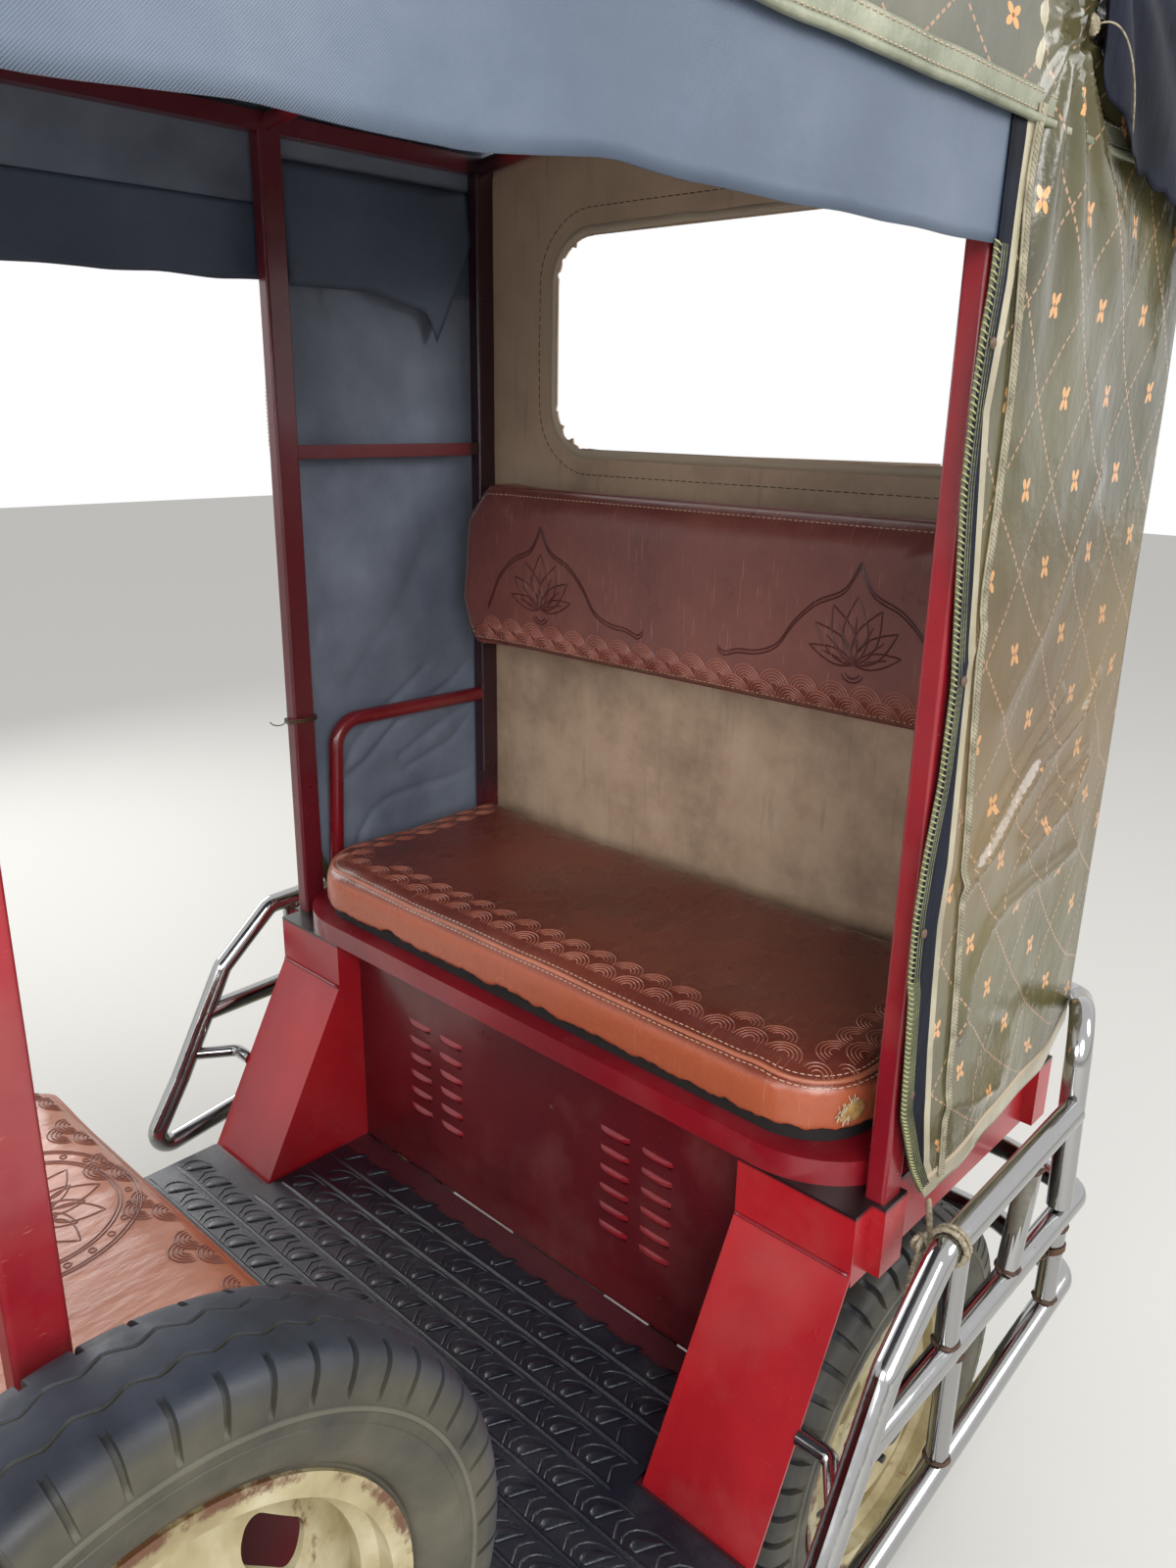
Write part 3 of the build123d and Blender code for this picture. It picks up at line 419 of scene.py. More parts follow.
# Rims: rim and disc are pressed steel, welded to each other and sprayed cream long ago. The paint is ochre and
# stained, paler in patches, with rust at the flange and the hub.
for name in ("spare_rim", "front_rim", "rear_rim_left", "rear_rim_right"):
    cream = new_material(f"{name}_cream", tint(170, 160, 128), 0.42)
    aged = patches(
        cream, 10.0, 8.0, (0.3, tint(118, 102, 68)), (0.5, tint(158, 146, 110)), (0.72, tint(196, 190, 166)),
    )
    squares = []
    for axis, at in zip("XYZ", middle_of(name)):
        away = calc(cream, "SUBTRACT", place_along(cream, axis), at)
        squares.append(calc(cream, "MULTIPLY", away, away))
    reach = calc(cream, "SQRT", calc(cream, "ADD", squares[0], squares[2]))
    low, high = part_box(name)
    share = calc(cream, "DIVIDE", reach, (high.x - low.x) / 2)
    lip = ramp(cream, share, (0.36, 0.10), (0.45, 0.0), (0.93, 0.0), (0.975, 0.16))
    grain = speckle(cream, 26.0, 8.0, 0.7)
    rust_patch = ramp(cream, calc(cream, "ADD", grain, lip), (0.60, 0.0), (0.70, 1.0))
    feed(cream, "Base Color", blend_color(cream, rust_patch, aged, tint(92, 58, 36)))
    bump(cream, rust_patch, 0.3, 0.001)
    dress(cream, name)

# Seat cushion: a long foam pad under red-brown leathercloth, pulled over a board. The front band is a lighter tan,
# joined to the top by a welt with two rows of stitching; waves are heat-pressed along the front and the far end.
SEAT_LOW, SEAT_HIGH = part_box("seat_cushion")
# Its corner radius, the height that its lines are drawn at before they are laid on it, and the band's top edge.
SEAT_CORNER, SEAT_LINES_Z, SEAT_BAND_Z = 0.110, 0.7, 0.704
# The two places where it is sat in, their half width, and the height under which its cover is rucked.
SAT_AT, SAT_HALF, SEAT_RUCKED_Z = (0.2, -0.22), 0.17, 0.672


def leathercloth(name, deep, bright, rough, band=None, band_z=None):
    """Worn upholstery vinyl: mottled colour, fine grain, creases and a soft gloss, with a lighter band low down."""
    mat = new_material(name, bright, 0.4)
    color = patches(mat, 4.5, 8.0, (0.3, deep), (0.68, bright), rough=0.65)
    if band:
        color = blend_color(mat, edge_at(mat, "Z", 0.5 - band_z, (0.496, 1.0), (0.502, 0.0)), color, band)
    scuffed = position(mat, (3.0, 26.0, 9.0), (0.1, 0.2, 0.5))
    color = blend_color(mat, patches(mat, 7.0, 6.0, (0.62, 0.0), (0.8, 0.35), where=scuffed), color, bright)
    for turn in (0.9, 2.3):
        scratched = position(mat, (3.0, 75.0, 3.0), (0.2, 0.1, turn))
        scratch = patches(mat, 6.0, 1.0, (0.715, 0.0), (0.74, 0.35), where=scratched)
        color = blend_color(mat, scratch, color, tint(176, 128, 108))
    feed(mat, "Base Color", color)
    feed(mat, "Roughness", patches(mat, 9.0, 6.0, (0.3, rough[0]), (0.75, rough[1])))
    pores = node(
        mat, "ShaderNodeTexVoronoi", {"Vector": position(mat), "Scale": 620.0}, feature="DISTANCE_TO_EDGE",
    ).outputs["Distance"]
    crease = speckle(mat, 16.0, 3.0, 0.5, position(mat, (2.0, 5.0, 3.0)))
    relief = calc(mat, "ADD", calc(mat, "MULTIPLY", pores, 0.25), calc(mat, "MULTIPLY", crease, 1.6))
    bump(mat, relief, 0.35, 0.0012)
    return mat


def stuffed(name, node_name, mat, shrink, cap, voxel):
    """Copies the CAD pad a little smaller, remeshes it fine and lets pressure swell the cover, no point by more
    than cap."""
    pad = bpy.data.objects.new(name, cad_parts[node_name].data.copy())
    bpy.context.collection.objects.link(pad)
    take(pad)
    bpy.ops.object.mode_set(mode="EDIT")
    bpy.ops.mesh.select_all(action="SELECT")
    bpy.ops.mesh.remove_doubles(threshold=0.00001)
    bpy.ops.object.mode_set(mode="OBJECT")
    low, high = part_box(node_name)
    middle = middle_of(node_name)
    for vertex in pad.data.vertices:
        for axis in range(3):
            span = (high[axis] - low[axis]) / 2
            vertex.co[axis] = middle[axis] + (vertex.co[axis] - middle[axis]) * (span - shrink) / span
    remesh = pad.modifiers.new("fine_cover", "REMESH")
    remesh.mode = "VOXEL"
    remesh.voxel_size = voxel
    bpy.ops.object.modifier_apply(modifier="fine_cover")
    start = [vertex.co.copy() for vertex in pad.data.vertices]
    cloth = pad.modifiers.new("fill", "CLOTH")
    cloth.settings.use_pressure = True
    cloth.settings.uniform_pressure_force = 4.0
    cloth.settings.effector_weights.gravity = 0.0
    scene = bpy.context.scene
    for step in range(1, 21):
        scene.frame_set(step)
    swollen = pad.evaluated_get(bpy.context.evaluated_depsgraph_get()).data
    places = [vertex.co.copy() for vertex in swollen.vertices]
    pad.modifiers.remove(cloth)
    scene.frame_set(1)
    for vertex, old, new in zip(pad.data.vertices, start, places):
        move = new - old
        vertex.co = old + (move if move.length < cap else move.normalized() * cap)
    pad.data.materials.clear()
    pad.data.materials.append(mat)
    finish = pad.modifiers.new("round", "SUBSURF")
    finish.levels = finish.render_levels = 1
    bpy.ops.object.modifier_apply(modifier="round")
    bpy.ops.object.shade_smooth()
    fasten(pad)
    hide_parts(node_name)
    return pad


def moulded_lines(name, host, paths, aim, width, height, mat):
    """Low rounded ridges laid on a host piece: flat paths thrown onto it in one direction."""
    tree = BVHTree.FromObject(host, bpy.context.evaluated_depsgraph_get())
    aim = Vector(aim)
    form = bmesh.new()
    for path in paths:
        hits = [tree.ray_cast(Vector(place) - aim * 0.25, aim)[:2] for place in path]
        if any(place is None for place, _ in hits):
            continue
        previous = None
        for i, (place, normal) in enumerate(hits):
            along = hits[min(i + 1, len(hits) - 1)][0] - hits[max(i - 1, 0)][0]
            across = normal.cross(along).normalized() * (width / 2)
            rise = height if 0 < i < len(hits) - 1 else height * 0.3
            shape = ((1, -0.0004), (0.35, rise), (-0.35, rise), (-1, -0.0004))
            row = [form.verts.new(place + across * k + normal * h) for k, h in shape]
            if previous:
                for j in range(3):
                    face = form.faces.new((previous[j], row[j], row[j + 1], previous[j + 1]))
                    face.normal_update()
                    if face.normal.dot(normal) < 0:
                        face.normal_flip()
            previous = row
    return fasten(as_object(form, name, mat))


def circle_line(count, start=0.0, end=2 * math.pi):
    """Angles from start to end in count steps."""
    return [start + (end - start) * i / count for i in range(count + 1)]


def arc_fan(centre, radii, start, end, count, place):
    """Concentric arcs between two angles; place turns flat coordinates into a point."""
    x, y = centre
    angles = circle_line(count, start, end)
    return [[place(x + radius * math.cos(a), y + radius * math.sin(a)) for a in angles] for radius in radii]


def ripple(x, y, z, size=1.0):
    """Smooth noise at a place, the same on every run."""
    return size * noise.noise(Vector((x, y, z)))


seat_vinyl = leathercloth(
    "seat_leathercloth", tint(88, 38, 30), tint(124, 60, 46), (0.18, 0.40), tint(166, 86, 58), SEAT_BAND_Z,
)
seat = stuffed("seat_pad", "seat_cushion", seat_vinyl, 0.008, 0.010, 0.0085)
random.seed(7)
for vertex in seat.data.vertices:
    x, y, z = vertex.co
    if z < SEAT_RUCKED_Z:
        ragged = ripple(x * 40, y * 40, 3.0, 0.5) + ripple(x * 110, y * 110, 7.0, 0.35)
        front = max(0.0, min(1.0, (x + 0.98) * 8))
        vertex.co.z = max(vertex.co.z, SEAT_LOW.z + 0.020 * front * (1 + 0.6 * ragged))
    else:
        sat = sum(math.exp(-((y - at) / SAT_HALF) ** 2) for at in SAT_AT)
        dip = 0.007 * sat * math.exp(-((x + 0.96) / 0.13) ** 2)
        vertex.co.z -= dip * max(0.0, min(1.0, (z - 0.69) / 0.02))
        vertex.co.z += ripple(x * 9, y * 9, 1.0, 0.0016)


def evenly(points, step):
    """The same line with points a step apart."""
    lengths = [0.0]
    for a, b in zip(points, points[1:]):
        lengths.append(lengths[-1] + (b - a).length)
    count = max(2, round(lengths[-1] / step))
    line, k = [], 0
    for i in range(count + 1):
        want = lengths[-1] * i / count
        while k < len(points) - 2 and lengths[k + 1] < want:
            k += 1
        share = (want - lengths[k]) / max(lengths[k + 1] - lengths[k], 1e-9)
        line.append(points[k].lerp(points[k + 1], min(1.0, share)))
    return line


def seat_outline(inset, step):
    """Points round the cushion's near side, front and far side, parallel to its edge."""
    half, radius = SEAT_HIGH.y - inset, SEAT_CORNER - inset
    x = SEAT_HIGH.x - inset - radius
    points = [Vector((SEAT_LOW.x + 0.04, -half, SEAT_LINES_Z)), Vector((x, -half, SEAT_LINES_Z))]
    for side, start in ((-1, -90), (1, 0)):
        for i in range(1, 13):
            angle = math.radians(start + 90 * i / 12)
            y = side * (half - radius) + radius * math.sin(angle)
            points.append(Vector((x + radius * math.cos(angle), y, SEAT_LINES_Z)))
    points.append(Vector((SEAT_LOW.x + 0.04, half, SEAT_LINES_Z)))
    return evenly(points, step)


def dashes(line, on, off=1):
    """Cuts a line of even points into stitches: on points long, off points apart."""
    return [line[i:i + on + 1] for i in range(0, len(line) - on, on + off)]


DOWN = (0, 0, -1)
thread = grained("pale_thread", tint(206, 178, 150), 0.7, (900.0, 4.0, 0.4, 0.0005))
tan_vinyl = leathercloth("tan_welt", tint(150, 84, 60), tint(186, 112, 84), (0.26, 0.5))
moulded_lines("seat_welt", seat, [seat_outline(0.0290, 0.012)], DOWN, 0.006, 0.0022, tan_vinyl)
stitches = dashes(seat_outline(0.0245, 0.0025), 2) + dashes(seat_outline(0.0345, 0.0025), 2)
moulded_lines("seat_stitches", seat, stitches, DOWN, 0.0013, 0.0007, thread)

# Pressed waves on the seat: lines heat-pressed into the cover along its edges. They are fans of arcs in two
# staggered rows, open away from the edge.
SEAT_ARCS = (0.007, 0.0115, 0.016, 0.0205)
FRONT_WAVES, FRONT_WAVE_PITCH, END_WAVES, END_WAVE_PITCH = 20, 0.0425, 7, 0.040


def on_seat(x, y):
    return Vector((x, y, 0.72))


waves = []
for i in range(FRONT_WAVES):
    for row, x in enumerate((SEAT_HIGH.x - 0.050, SEAT_HIGH.x - 0.074)):
        if row and ripple(i * 1.7, 2.0, 0.0) > 0.22:
            continue
        y = -0.40 + i * FRONT_WAVE_PITCH + 0.021 * row
        waves += arc_fan((x, y), SEAT_ARCS, math.radians(90), math.radians(270), 9, on_seat)
for i in range(END_WAVES):
    for row, y in enumerate((-0.428, -0.404)):
        x = SEAT_LOW.x + 0.06 + i * END_WAVE_PITCH + 0.02 * row
        waves += arc_fan((x, y), SEAT_ARCS, 0.0, math.pi, 9, on_seat)
        waves += arc_fan((x, -y), SEAT_ARCS, -math.pi, 0.0, 9, on_seat)
seat_line = leathercloth("seat_pressed_line", tint(128, 68, 54), tint(172, 108, 88), (0.2, 0.42))
moulded_lines("seat_waves", seat, waves, DOWN, 0.0021, 0.0010, seat_line)

# Torn near front corner: the cover has worn through low on the corner. Yellow foam shows, edged with the pale
# fibres of the cover's backing cloth.
foam = grained(
    "torn_foam", tint(176, 134, 74), 0.9, (200.0, 8.0, 1.0, 0.002),
    (60.0, 8.0, (0.35, tint(122, 86, 44)), (0.65, tint(190, 150, 88))),
)
fibre = grained("backing_fibre", tint(196, 180, 150), 0.9, (900.0, 4.0, 0.5, 0.0004))
TEAR_TURN, TEAR_Z, TEAR_HIGH, TEAR_POINTS, FIBRES = math.radians(63), 0.678, 0.0125, 22, 34
corner = Vector((SEAT_HIGH.x - SEAT_CORNER, SEAT_HIGH.y - SEAT_CORNER, 0.0))
seat_tree = BVHTree.FromObject(seat, bpy.context.evaluated_depsgraph_get())


def on_corner(turn, z, proud):
    """A point on the cushion's round corner, at an angle and a height."""
    way = Vector((math.cos(turn), math.sin(turn), 0.0))
    lift = Vector((0, 0, z))
    hit = seat_tree.ray_cast(corner + way * 0.3 + lift, -way)[0]
    return (hit if hit else corner + way * (SEAT_CORNER - 0.006) + lift) + way * proud


form = bmesh.new()
layers = []
for share, proud in ((1.0, -0.0008), (0.86, 0.0016), (0.55, 0.0024)):
    ring = []
    for a in circle_line(TEAR_POINTS)[:-1]:
        spread = share * (1 + ripple(math.cos(a) * 2.2, math.sin(a) * 2.2, 5.0, 0.35))
        turn = TEAR_TURN + spread * 0.155 * math.cos(a) + 0.05 * share * math.sin(a)
        ring.append(form.verts.new(on_corner(turn, max(0.6665, TEAR_Z + spread * TEAR_HIGH * math.sin(a)), proud)))
    layers.append(ring)
skin(form, layers)
tip = form.verts.new(on_corner(TEAR_TURN, TEAR_Z, 0.0016))
for i in range(TEAR_POINTS):
    form.faces.new((ring[i], ring[(i + 1) % TEAR_POINTS], tip))
finish_piece(form, "torn_foam_patch", foam)


def along_at(line, i):
    """The direction of a line at one of its points."""
    return (line[min(i + 1, len(line) - 1)] - line[max(i - 1, 0)]).normalized()


def close_ends(form, rings):
    """Caps both ends of a swept tube."""
    form.faces.new(rings[0][::-1])
    form.faces.new(rings[-1])


def round_strands(name, strands, mat, sides=7):
    """Round strands swept along lists of points, joined in one piece."""
    form = bmesh.new()
    turns = circle_line(sides)[:-1]
    for points, radius in strands:
        rings = []
        up_way = Vector((0.31, 0.22, 0.93)).normalized()
        for i, place in enumerate(points):
            along = along_at(points, i)
            across = along.cross(up_way)
            across = across.normalized() if across.length > 1e-4 else along.orthogonal().normalized()
            up_way = across.cross(along).normalized()
            ways = [across * math.cos(a) + up_way * math.sin(a) for a in turns]
            rings.append([form.verts.new(place + way * radius) for way in ways])
        skin(form, rings)
        close_ends(form, rings)
    return finish_piece(form, name, mat)


fibres = []
for _ in range(FIBRES):
    a = random.uniform(1.4, 4.4)
    turn = TEAR_TURN + 0.150 * math.cos(a) * random.uniform(0.8, 1.15)
    z = max(0.668, TEAR_Z + TEAR_HIGH * math.sin(a) * random.uniform(0.8, 1.15))
    swing = random.uniform(-0.07, 0.03)
    half_z = z + random.uniform(-0.003, 0.004)
    half_way = on_corner(turn + swing * 0.5, half_z, random.uniform(0.0018, 0.0040))
    end_z = z + random.uniform(-0.006, 0.008)
    end_way = on_corner(turn + swing, end_z, random.uniform(0.0015, 0.0060))
    fibres.append(([on_corner(turn, z, 0.0012), half_way, end_way], random.uniform(0.0003, 0.0007)))
round_strands("torn_fibres", fibres, fibre, sides=5)

# Seat board: the plywood that the cushion's cover is pulled over, its front corners round, coloured near black as
# painted shade under the cushion. It is set back from the cushion's edge so that a shadow gap shows.
BOARD_INSET, BOARD_THICK = 0.028, 0.019
board_painted_shade = grained("seat_board", tint(22, 16, 17), 0.8, (20.0, 4.0, 0.4, 0.001), stretch=(1.0, 12.0, 12.0))
bpy.ops.object.select_all(action="DESELECT")
middle_x = (SEAT_LOW.x + SEAT_HIGH.x) / 2
bpy.ops.mesh.primitive_cube_add(size=1.0, location=(middle_x, 0.0, SEAT_LOW.z + BOARD_THICK / 2 + 0.0004))
board = bpy.context.object
board.name = board.data.name = "seat_board"
bpy.ops.object.mode_set(mode="EDIT")
bpy.ops.mesh.select_all(action="SELECT")
bpy.ops.transform.resize(
    value=(SEAT_HIGH.x - SEAT_LOW.x - 2 * BOARD_INSET, 2 * (SEAT_HIGH.y - BOARD_INSET), BOARD_THICK),
)
bpy.ops.mesh.select_mode(type="EDGE")
bpy.ops.mesh.select_all(action="DESELECT")
form = bmesh.from_edit_mesh(board.data)
for edge in form.edges:
    one, two = (vertex.co for vertex in edge.verts)
    edge.select = one.x > 0 and two.x > 0 and abs(one.z - two.z) > 0.001
bmesh.update_edit_mesh(board.data)
bpy.ops.mesh.bevel(offset=SEAT_CORNER - BOARD_INSET, segments=14, affect="EDGES")
bpy.ops.object.mode_set(mode="OBJECT")
bpy.ops.object.transform_apply(location=True, rotation=True, scale=True)
bpy.ops.object.shade_smooth_by_angle(angle=math.radians(35))
board.data.materials.append(board_painted_shade)
fasten(board)

# Floor mat: black rubber laid on the floor tray, moulded in rows between ribs. Each row is a chain of half-moon
# pads, each under its own arched line, and the rows are staggered. Wet-look on top, duller and gritty in patches.
mat_rubber = new_material("mat_rubber", (0.012, 0.014, 0.018), 0.33, coat_weight=0.25, coat_roughness=0.18)
feed(mat_rubber, "Roughness", patches(mat_rubber, 8.0, 6.0, (0.4, 0.16), (0.75, 0.40)))
grit = patches(mat_rubber, 18.0, 8.0, (0.5, (0.005, 0.008, 0.016)), (0.8, (0.026, 0.029, 0.036)))
feed(mat_rubber, "Base Color", grit)
bump(mat_rubber, speckle(mat_rubber, 650.0, 3.0), 0.8, 0.0008)
dress(mat_rubber, "floor_mat")
MAT_LOW, MAT_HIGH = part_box("floor_mat")
MAT_ROWS, RIB_FIRST, RIB_PITCH, CELL_PITCH = 9, -0.3905, 0.0433, 0.053
MAT_EDGE, ARCH_FOOT, HALF_BETWEEN_ARCHES = 0.010, -0.634, 0.344
# One cell in metres: first number towards the bench from the row's front rib, second along the row.
PAD_EDGE = (
    (0.004, 0.011), (0.008, 0.005), (0.013, 0.003), (0.020, 0.0055), (0.028, 0.013), (0.033, 0.022), (0.035, 0.0315),
    (0.026, 0.0255), (0.016, 0.0205), (0.0065, 0.0155),
)
ARCH_LINE = (
    (0.0045, -0.001), (0.011, -0.0055), (0.019, -0.0055), (0.027, -0.001), (0.033, 0.008), (0.0365, 0.019),
    (0.0372, 0.031), (0.0375, 0.043),
)
KINK_LINE = ((0.003, 0.043), (0.012, 0.038), (0.020, 0.033), (0.028, 0.0365), (0.0345, 0.041))
form = bmesh.new()
ribs, lines = [], []
for row in range(MAT_ROWS):
    front = RIB_FIRST - row * RIB_PITCH
    half = (MAT_HIGH.y if front - RIB_PITCH > ARCH_FOOT else HALF_BETWEEN_ARCHES) - MAT_EDGE
    if front - 0.004 > MAT_LOW.x:
        ribs.append(evenly([Vector((front, -half, MAT_HIGH.z)), Vector((front, half, MAT_HIGH.z))], 0.03))
    start = -half + (row % 2) * CELL_PITCH / 2
    for i in range(int((half - start - 0.045) / CELL_PITCH) + 1):
        base = start + 0.008 + i * CELL_PITCH
        edge, arch, kink = (
            [Vector((front - away, base + along, MAT_HIGH.z)) for away, along in line]
            for line in (PAD_EDGE, ARCH_LINE, KINK_LINE)
        )
        lines += [arch, kink]
        middle = Vector((front - 0.019, base + 0.015, MAT_HIGH.z))
        loops = [
            [form.verts.new(middle.lerp(place, shrink) + Vector((0, 0, rise))) for place in edge]
            for shrink, rise in ((1.0, -0.0004), (0.90, 0.0013), (0.74, 0.0021), (0.40, 0.0025))
        ]
        skin(form, loops)
        close_ends(form, loops)
finish_piece(form, "mat_pads", mat_rubber)
mat_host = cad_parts["floor_mat"]
moulded_lines("mat_ribs", mat_host, ribs, DOWN, 0.0075, 0.0026, mat_rubber)
moulded_lines("mat_lines", mat_host, lines, DOWN, 0.0036, 0.0013, mat_rubber)

# Backrest: a padded board in maroon-brown leathercloth, shaped at its ends, with a stitched border, pressed waves
# along the bottom and a lotus under an ogee line at each end. Its middle is bare.
back_vinyl = leathercloth("back_leathercloth", tint(98, 48, 44), tint(130, 76, 66), (0.24, 0.48))
back = stuffed("back_pad", "backrest", back_vinyl, 0.006, 0.009, 0.0075)
BACK_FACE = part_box("backrest")[1].x
TO_REAR = (-1, 0, 0)


def on_back(y, z):
    return Vector((BACK_FACE, y, z))


def on_backrest(name, paths, width, height, mat):
    """Raised lines on the backrest's face."""
    moulded_lines(name, back, paths, TO_REAR, width, height, mat)


BACK_BORDER = (
    (-0.412, 1.001), (0.412, 1.001), (0.438, 1.062), (0.424, 1.184), (0.384, 1.230), (-0.384, 1.230),
    (-0.424, 1.184), (-0.438, 1.062), (-0.412, 1.001),
)
BACK_MIDDLE_Z = 1.1155
border = evenly([on_back(y, z) for y, z in BACK_BORDER], 0.010)
on_backrest("back_welt", [border], 0.005, 0.0018, back_vinyl)
inner = [on_back(y * 0.975, BACK_MIDDLE_Z + (z - BACK_MIDDLE_Z) * 0.93) for y, z in BACK_BORDER]
on_backrest("back_stitches", dashes(evenly(inner, 0.0025), 2), 0.0013, 0.0007, thread)


def flow(points, count=8):
    """A smooth line through a few flat points."""
    line = []
    last = len(points) - 1
    for i in range(last):
        p0, p1, p2, p3 = (Vector(points[max(0, min(last, k))]) for k in (i - 1, i, i + 1, i + 2))
        for j in range(count + (i == last - 1)):
            t = j / count
            square, cube = 2 * p0 - 5 * p1 + 4 * p2 - p3, 3 * p1 - p0 - 3 * p2 + p3
            line.append(0.5 * (2 * p1 + (p2 - p0) * t + square * t * t + cube * t ** 3))
    return line


def petal(base, angle, length, width, place):
    """The two sides of a pointed petal, and its vein."""
    along = Vector((math.cos(angle), math.sin(angle)))
    across = Vector((-along.y, along.x))
    base = Vector(base)
    sides = []
    for k in (-1.0, 1.0):
        bulges = [(t, k * width * math.sin(math.pi * t ** 0.8) * 0.5) for t in (i / 12 for i in range(13))]
        sides.append([place(*(base + along * length * t + across * bulge)) for t, bulge in bulges])
    sides.append([place(*(base + along * length * t)) for t in (0.25, 0.4, 0.55, 0.7)])
    return sides


# Angle from upright in degrees, length and width of each petal, from the middle outwards.
LOTUS = (
    (0, 0.078, 0.033), (26, 0.072, 0.029), (-26, 0.072, 0.029), (52, 0.068, 0.025), (-52, 0.068, 0.025),
    (76, 0.062, 0.018), (-76, 0.062, 0.018),
)
LOTUS_Y, LOTUS_Z = 0.255, 1.068
BACK_WAVES, BACK_WAVE_PITCH, BACK_ARCS = 19, 0.042, (0.0055, 0.0095, 0.0135, 0.0175, 0.0215)
OGEE_IN = (
    (0.062, 1.0625), (0.072, 1.056), (0.092, 1.062), (0.122, 1.065), (0.150, 1.078), (0.172, 1.108),
    (0.200, 1.134), (0.236, 1.152), (0.255, 1.184),
)
OGEE_OUT = ((0.255, 1.184), (0.274, 1.152), (0.312, 1.134), (0.340, 1.108), (0.356, 1.078), (0.366, 1.060))
pressed = []
for side in (-1, 1):
    for angle, length, width in LOTUS:
        pressed += petal((side * LOTUS_Y, LOTUS_Z), math.radians(90 + angle), length, width, on_back)
    for line in (OGEE_IN, OGEE_OUT):
        for lower in (0.0, 0.0045):
            pressed.append([on_back(side * y, z - lower) for y, z in flow(line)])
    foot = (side * LOTUS_Y, LOTUS_Z - 0.007)
    pressed += arc_fan(foot, (0.010, 0.015), math.radians(200), math.radians(340), 8, on_back)
waves = []
for i in range(BACK_WAVES):
    for row, z in enumerate((1.0075, 1.0235)):
        y = -0.378 + i * BACK_WAVE_PITCH + 0.021 * row
        if abs(y) < 0.40:
            waves += arc_fan((y, z), BACK_ARCS, 0.0, math.pi, 10, on_back)
back_line = leathercloth("back_pressed_line", tint(62, 22, 20), tint(88, 36, 30), (0.24, 0.45))
on_backrest("back_pressed", pressed, 0.0028, 0.0012, back_line)
wave_line = leathercloth("back_wave_line", tint(140, 80, 66), tint(176, 116, 98), (0.24, 0.45))
on_backrest("back_waves", waves, 0.0020, 0.0010, wave_line)

# Rear lining: vinyl stretched over the rear board, beige-grey and stained inside, slate outside, with a trimmed
# window opening and a stitched line round it.
LINING_HALF, LINING_LOW, LINING_HIGH, LINING_CROWN, LINING_FLAT = 0.497, 0.561, 1.668, 1.701, 0.25
WINDOW_LOW, WINDOW_HIGH, WINDOW_HALF, WINDOW_CORNER = 1.286, 1.570, 0.340, 0.062


def rounded_box(x0, x1, y0, y1, radius, count):
    """A closed box with round corners, as flat points."""
    points = []
    for x, y, start in (
        (x1 - radius, y1 - radius, 0), (x0 + radius, y1 - radius, 90), (x0 + radius, y0 + radius, 180),
        (x1 - radius, y0 + radius, 270),
    ):
        for a in circle_line(count, math.radians(start), math.radians(start + 90)):
            points.append((x + radius * math.cos(a), y + radius * math.sin(a)))
    return points + points[:1]


def rounded_window(offset):
    """The window's outline in Y and Z, moved out by an offset."""
    half = WINDOW_HALF + offset
    return rounded_box(-half, half, WINDOW_LOW - offset, WINDOW_HIGH + offset, WINDOW_CORNER + offset, 10)


def in_window(y, z, offset):
    """Whether a point is inside the window moved out by an offset."""
    dy = max(0.0, abs(y) - (WINDOW_HALF - WINDOW_CORNER))
    dz = max(0.0, abs(z - (WINDOW_LOW + WINDOW_HIGH) / 2) - ((WINDOW_HIGH - WINDOW_LOW) / 2 - WINDOW_CORNER))
    return math.hypot(dy, dz) < WINDOW_CORNER + offset


lining_vinyl = new_material("lining_inside", tint(180, 156, 132), 0.55)
stain = patches(
    lining_vinyl, 5.0, 8.0, (0.32, tint(148, 124, 104)), (0.5, tint(184, 158, 132)), (0.7, tint(206, 182, 154)),
    rough=0.65,
)
upper = edge_at(lining_vinyl, "Z", -0.75, (0.3, 0.0), (0.62, 0.6))
stain = blend_color(lining_vinyl, upper, stain, tint(176, 152, 128))
drips = patches(lining_vinyl, 4.0, 6.0, (0.58, 0.0), (0.75, 0.4), where=position(lining_vinyl, (1.0, 22.0, 2.0)))
feed(lining_vinyl, "Base Color", blend_color(lining_vinyl, drips, stain, tint(126, 110, 98)))
bump(lining_vinyl, speckle(lining_vinyl, 18.0, 6.0), 0.35, 0.003)


def woven(mat, scale, weight, folds, power, depth):
    """The bump of a coarse cloth: its diagonal threads and its folds."""
    threads = node(mat, "ShaderNodeTexWave", {"Vector": position(mat, turn=(0.0, 0.785, 0.0)), "Scale": scale})
    bump(mat, calc(mat, "ADD", calc(mat, "MULTIPLY", threads.outputs["Fac"], weight), folds), power, depth)


slate_cloth = new_material("slate_vinyl", tint(112, 120, 136), 0.55)
feed(slate_cloth, "Base Color", patches(slate_cloth, 6.0, 8.0, (0.3, tint(92, 100, 116)), (0.7, tint(130, 140, 156))))
woven(slate_cloth, 260.0, 0.04, speckle(slate_cloth, 11.0, 3.0, 0.4), 0.5, 0.006)


